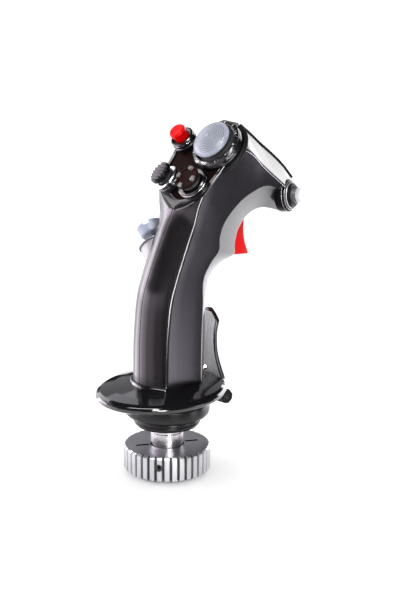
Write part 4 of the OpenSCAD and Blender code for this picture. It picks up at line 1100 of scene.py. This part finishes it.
def paddle_plate():
    """The squeeze lever's blade: a curved plate, fluted lengthwise on the face toward the handle, which is
    coloured light grey as a painted sheen.
    """
    rows, cols = 72, 96
    verts = []
    for face, line in enumerate((along(front, rows), along(back, rows))):
        for y, z in line:
            w = paddle_half_width(z)
            fade = min(1.0, (z - 47) / 2, (85.6 - z) / 1.5)
            for j in range(cols + 1):
                x = (-1 + 2 * j / cols) * w
                edge = max(0.0, abs(x) - (w - 0.9)) / 0.9
                round_in = 0.55 * (1 - math.sqrt(max(0.0, 1 - min(1.0, edge) ** 2)))
                fluted = face == 0 and abs(x) < w - 1.1 and 47 < z < 85.6
                flute = 0.34 * fade * (0.5 - 0.5 * math.cos(2 * math.pi * x / 2.2)) if fluted else 0.0
                verts.append((x, y + (-round_in if face else round_in + flute), z))
    wide, far = cols + 1, rows * (cols + 1)
    top = (rows - 1) * wide
    faces = quads(rows - 1, wide, loop=False, flip=True) + quads(rows - 1, wide, far, loop=False)
    # Painted sheen: the inner faces of the fluted side take the light grey.
    sheen_mask = [int(3 < k % cols < cols - 4 and 3 < k // cols < rows - 3) for k in range((rows - 1) * cols)]
    for a in range(0, top, wide):
        b = a + cols
        faces.append((a, a + wide, a + wide + far, a + far))
        faces.append((b, b + far, b + wide + far, b + wide))
    for j in range(cols):
        faces.append((j, j + 1, j + 1 + far, j + far))
        faces.append((top + j, top + j + far, top + j + 1 + far, top + j + 1))
    sheen_mask += [0] * (len(faces) - len(sheen_mask))
    return mesh_object("paddle_blade", verts, faces, [dark_metal, paddle_painted_sheen], sheen_mask, 40)


place_on(paddle_plate(), "paddle", "paddle_lever", slot="dark_metal")


def pin_bore(obj, r):
    cut_all(obj, [cylinder(Place((0, *PIVOT), SIDEWAYS.r), r, -20, 20, 48)])


def knuckle():
    """Toothed hub round the paddle's pin."""
    teeth, radius, depth = 14, 4.0, 0.55
    outline = []
    for k in range(teeth * 6):
        a = 2 * math.pi * k / (teeth * 6)
        wave = 0.5 + 0.5 * math.cos(a * teeth)
        r = radius - depth * (1 - min(1.0, wave * 1.6))
        outline.append((PIVOT[0] + r * math.cos(a), PIVOT[1] + r * math.sin(a)))
    obj = prism("paddle_knuckle", SIDEWAYS, outline, -6.6, 6.6, [collar_black], bevel=0)
    pin_bore(obj, 1.52)
    return round_edges(obj, 0.22, 2, 35, 50)


web = closed_outline([(33.3, 36.6), (33.0, 40.2), (32.9, 44.2), (35.6, 44.4), (37.4, 39.4), (37.4, 36.6)],
                     0.6)
piece = prism("paddle_root", SIDEWAYS, web, -6.5, 6.5, [collar_black], bevel=0.4)
pin_bore(piece, 1.52)
shade(piece, 35)
place_on(piece, "paddle", slot="dark_metal")
place_on(knuckle(), "paddle", slot="dark_metal")

bracket = prism("bracket_plate", WORLD, closed_outline([(-9.4, 14), (9.4, 14), (9.4, 30.6), (-9.4, 30.6)],
                                                       1.2), 40, 43.8, [dark_metal], bevel=0)
screw_spots = []
co = np.array([v.co for v in nodes["bracket_screws"].data.vertices]) / MM
for half in (co[co[:, 0] < 0], co[co[:, 0] > 0]):
    mid = (half.min(0) + half.max(0)) / 2
    screw_spots.append((float(mid[0]), float(mid[1]), 0))
cut_all(bracket, [cylinder(WORLD, UR + 0.03, 30, 50)]
        + [cylinder(WORLD.moved(spot), 1.01, 36, 48, 32) for spot in screw_spots])
round_edges(bracket, 0.25, 2, 35, 50)
place_on(bracket, "grip", "paddle_bracket", slot="dark_metal")
ear = closed_outline([(24, 40), (24, 43.8), (31.4, 43.8), (37.6, 41), (39.9, 38), (39.4, 35), (36.6, 33.1),
                      (33.4, 34), (30, 40)], 1.2)
for word, low, high in (("left", -9.4, -7.0), ("right", 7.0, 9.4)):
    piece = prism(f"bracket_ear_{word}", SIDEWAYS, ear, low, high, [collar_black], bevel=0)
    pin_bore(piece, 1.51)
    round_edges(piece, 0.3, 2, 35, 50)
    place_on(piece, "grip", slot="dark_metal")

py0, py1 = plunger_box[0][1], plunger_box[1][1]
rod_place = axis_frame((0, py0, PLUNGER_Z), (0, 1, 0))
rod_l = py1 - py0
turned("plunger_rod", rod_place, [(0, 0), (0.85, 0), (1.2, 0.35), (1.2, rod_l - 1.6), (2, rod_l - 1.6),
                                  (2, rod_l - 0.4), (1.5, rod_l), (0, rod_l)],
       [bright_steel], "plunger", ["paddle_plunger"], "polished_steel", radii=0.2, closed=False, segments=64)

# ---------------------------------------------------------------- carried-over CAD nodes
CARRIED = {"connector_insert": (insulator, 0.25), "connector_pins": (contacts, 0.12),
           "index_key": (insulator, 0.2), "nut_set_screw": (dark_metal, 0.12),
           "shell_screws": (dark_metal, 0.15), "trigger_pin": (steel, 0.15),
           "trigger_spring": (bright_steel, 0), "trigger_switch": (switch_black, 0.2),
           "bracket_screws": (steel, 0.12), "paddle_pin": (dark_metal, 0.15), "plunger_bush": (steel, 0.2),
           "paddle_spring": (bright_steel, 0), "paddle_switch": (switch_black, 0.2),
           "circuit_board": (board_paint, 0.1), "wire_harness": (cable, 0),
           "release_spring": (bright_steel, 0), "nose_spring": (bright_steel, 0), }
for name, obj in nodes.items():
    if name in CARRIED:
        mat, width = CARRIED[name]
    elif name.endswith("_gimbal") or name.endswith("_stem"):
        mat, width = steel, 0.15
    elif name.endswith("_switch"):
        mat, width = switch_black, 0.2
    else:
        continue
    obj.data.materials.clear()
    obj.data.materials.append(mat)
    if width:
        mod = obj.modifiers.new("edges", "BEVEL")
        mod.width = width * MM
        mod.segments = 2
        mod.limit_method = "ANGLE"
        mod.angle_limit = math.radians(40)
        mod.use_clamp_overlap = True


# ---------------------------------------------------------------- studio, in metres
def reflection_only(obj):
    """A studio card that shows in reflections alone."""
    obj.visible_camera = False
    obj.visible_diffuse = False
    obj.visible_shadow = False
    obj.visible_transmission = False
    obj.visible_volume_scatter = False
    obj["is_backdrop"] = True


def aimed(obj, centre, aim):
    obj.location = centre
    obj.rotation_euler = (Vector(aim) - Vector(centre)).to_track_quat("-Z", "Y").to_euler()
    bpy.context.scene.collection.objects.link(obj)


def lamp(name, centre, aim, size, power):
    """Area lamp that lights surfaces but doesn't show in them."""
    data = bpy.data.lights.new(name, "AREA")
    data.shape = "RECTANGLE"
    data.size, data.size_y = size
    data.energy = power
    obj = bpy.data.objects.new(name, data)
    obj.visible_glossy = False
    aimed(obj, centre, aim)


floor_mat, _, lit_floor = new_nodes("floor")
lit_floor.inputs["Base Color"].default_value = (0.95, 0.95, 0.95, 1)
lit_floor.inputs["Roughness"].default_value = 0.9
lit_floor.inputs["Emission Color"].default_value = (1, 1, 1, 1)
lit_floor.inputs["Emission Strength"].default_value = 0.15
floor_corners = [(-20, -20, -0.0006), (20, -20, -0.0006), (20, 20, -0.0006), (-20, 20, -0.0006)]
bare_object("floor", floor_corners, [(0, 1, 2, 3)], [floor_mat])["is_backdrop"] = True

AZ = math.radians(50)
to_camera = np.array([math.sin(AZ), -math.cos(AZ), 0.0])
camera_right = np.array([math.cos(AZ), math.sin(AZ), 0.0])
CAM = to_camera * 0.95 + (0, 0, 0.385)


def glow(name, colour, strength):
    mat = bpy.data.materials.new(name)
    mat.use_nodes = True
    tree = mat.node_tree
    tree.nodes.remove(tree.nodes["Principled BSDF"])
    e = tree.nodes.new("ShaderNodeEmission")
    e.inputs["Color"].default_value = (*colour, 1)
    e.inputs["Strength"].default_value = strength
    tree.links.new(e.outputs[0], tree.nodes["Material Output"].inputs["Surface"])
    return mat


def upright(name, angle, distance, width, low, high, colour, power):
    """Upright glowing card that faces the grip, at a plan angle in degrees from +X."""
    a = math.radians(angle)
    c = np.array([math.cos(a), math.sin(a)]) * distance
    t = np.array([-math.sin(a), math.cos(a)]) * width / 2
    verts = [(*(c - t), low), (*(c + t), low), (*(c + t), high), (*(c - t), high)]
    reflection_only(bare_object(name, verts, [(0, 1, 2, 3)], [glow(name, colour, power)]))


def sector(name, start, end, r_in, r_out, z, mat):
    """Flat ring sector lying over the floor, between two plan angles in degrees."""
    count = 48
    verts = []
    for k in range(count + 1):
        a = math.radians(start + (end - start) * k / count)
        for r in (r_in, r_out):
            verts.append((r * math.cos(a), r * math.sin(a), z))
    faces = [(2 * k, 2 * k + 1, 2 * k + 3, 2 * k + 2) for k in range(count)]
    reflection_only(bare_object(name, verts, faces, [mat]))


WHITE = (1, 1, 1)
PLUM = (0.92, 0.84, 0.94)
VIOLET = (0.90, 0.84, 1.0)
FLOOR = 0.13      # inner and outer radius of the cards over the floor
FAR = 7.8

dark = glow("dark_studio", (0.9, 0.85, 1.0), 0.012)
verts = [(r * math.cos(2 * math.pi * k / 48), r * math.sin(2 * math.pi * k / 48), z)
         for r, z in ((8, -1), (8, 2), (6, 5.3), (0.05, 8)) for k in range(48)]
reflection_only(bare_object("dark_dome", verts, quads(3, 48), [dark]))
sector("bright_floor", 62, 132, FLOOR, FAR, -0.0004, glow("bright_floor", (0.98, 0.97, 1.0), 3.3))
# Plan angles from and to, and the glow of the floor, of the middle and of the top, which the back mirrors
BACK_LIGHT = [(186, 204, 5.5, 8.0, 3.0), (204, 222, 4.6, 7.5, 1.8), (222, 238, 4.0, 4.6, 0.7),
              (238, 256, 2.6, 3.4, 0.15), (256, 285, 1.2, 1.5, 0.05), (285, 306, 0.4, 1.1, 0.15)]
for start, end, low, middle, high in BACK_LIGHT:
    mid, wide = (start + end) / 2, 2 * 2.2 * math.tan(math.radians((end - start) / 2)) + 0.02
    sector(f"back_floor_{start}", start, end, FLOOR, 2.4, -0.0004, glow(f"back_floor_{start}", PLUM, low))
    upright(f"back_middle_{start}", mid, 2.2, wide, -0.05, 0.66, PLUM, middle)
    upright(f"back_high_{start}", mid, 2.2, wide, 0.66, 1.2, PLUM, high)
sector("dark_floor", 306, 380, FLOOR, FAR, -0.0004, dark)
# Near and far radius and glow of the floor that the right side mirrors
SIDE_LIGHT = [(FLOOR, 0.30, 3.3), (0.30, 0.38, 2.8), (0.38, 0.47, 1.4), (0.47, 0.57, 5.6), (0.57, 0.75, 0.8),
              (0.75, FAR, 0.3)]
for near, far, power in SIDE_LIGHT:
    sector(f"side_floor_{near}", 24, 40, near, far, -0.0003, glow(f"side_floor_{near}", VIOLET, power))
sector("arch_floor", 39, 62, FLOOR, FAR, -0.0004, glow("arch_floor", VIOLET, 0.18))
sector("crease_strip", 333, 348, 0.46, 1.2, -0.0002, glow("crease_strip", WHITE, 34.0))
upright("crease_box", -20, 0.9, 0.2, 0.0, 0.42, WHITE, 30.0)
upright("front_box", -30, 0.9, 0.16, 0.42, 1.1, WHITE, 15.0)
upright("overhead", -62, 0.55, 0.7, 0.74, 1.25, WHITE, 18.0)
upright("left_box", 176, 0.9, 0.34, 0.0, 0.9, (0.96, 0.97, 1.0), 2.5)
upright("horizon", 100, 3.0, 2.4, -0.4, 1.1, WHITE, 5.0)
upright("flange_glow", 152, 2.2, 0.8, 1.3, 2.5, (0.96, 0.94, 1.0), 1.2)
upright("cap_glow", 203, 1.6, 0.3, 1.15, 1.7, WHITE, 5.0)
upright("sky_back", 140, 2.9, 3.2, 0.5, 2.2, (0.95, 0.96, 1.0), 0.42)
lamp("key_left", to_camera * 0.1 - camera_right * 0.9 + (0, 0, 0.75), (0, 0.02, 0.10), (0.5, 0.8), 1.6)
lamp("top_back", -to_camera * 0.35 + (0, 0, 1.1), (0, 0.02, 0.12), (0.9, 0.6), 2)
world = bpy.data.worlds.new("studio")
bpy.context.scene.world = world
world.use_nodes = True
world.node_tree.nodes["Background"].inputs["Color"].default_value = (1, 1, 1, 1)
world.node_tree.nodes["Background"].inputs["Strength"].default_value = 1.06

camera_data = bpy.data.cameras.new("camera")
camera_data.lens = 110.3
camera_data.sensor_width = 36
camera_data.shift_x = 0.0557
camera_data.clip_start = 0.05
camera_data.clip_end = 50
camera = bpy.data.objects.new("camera", camera_data)
aimed(camera, CAM, (0, 0, 0.0979))
bpy.context.scene.camera = camera
bpy.context.scene.view_settings.view_transform = "Standard"
bpy.context.scene.view_settings.exposure = 0.0


def plain(value):
    """Bounds as plain lists and numbers, so that they can be written down."""
    if isinstance(value, dict):
        return {str(k): plain(v) for k, v in value.items()}
    if isinstance(value, (list, tuple, Vector, np.ndarray)):
        return [plain(v) for v in value]
    return float(value)


{"cad": plain(size_before), "visual": plain(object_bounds())}
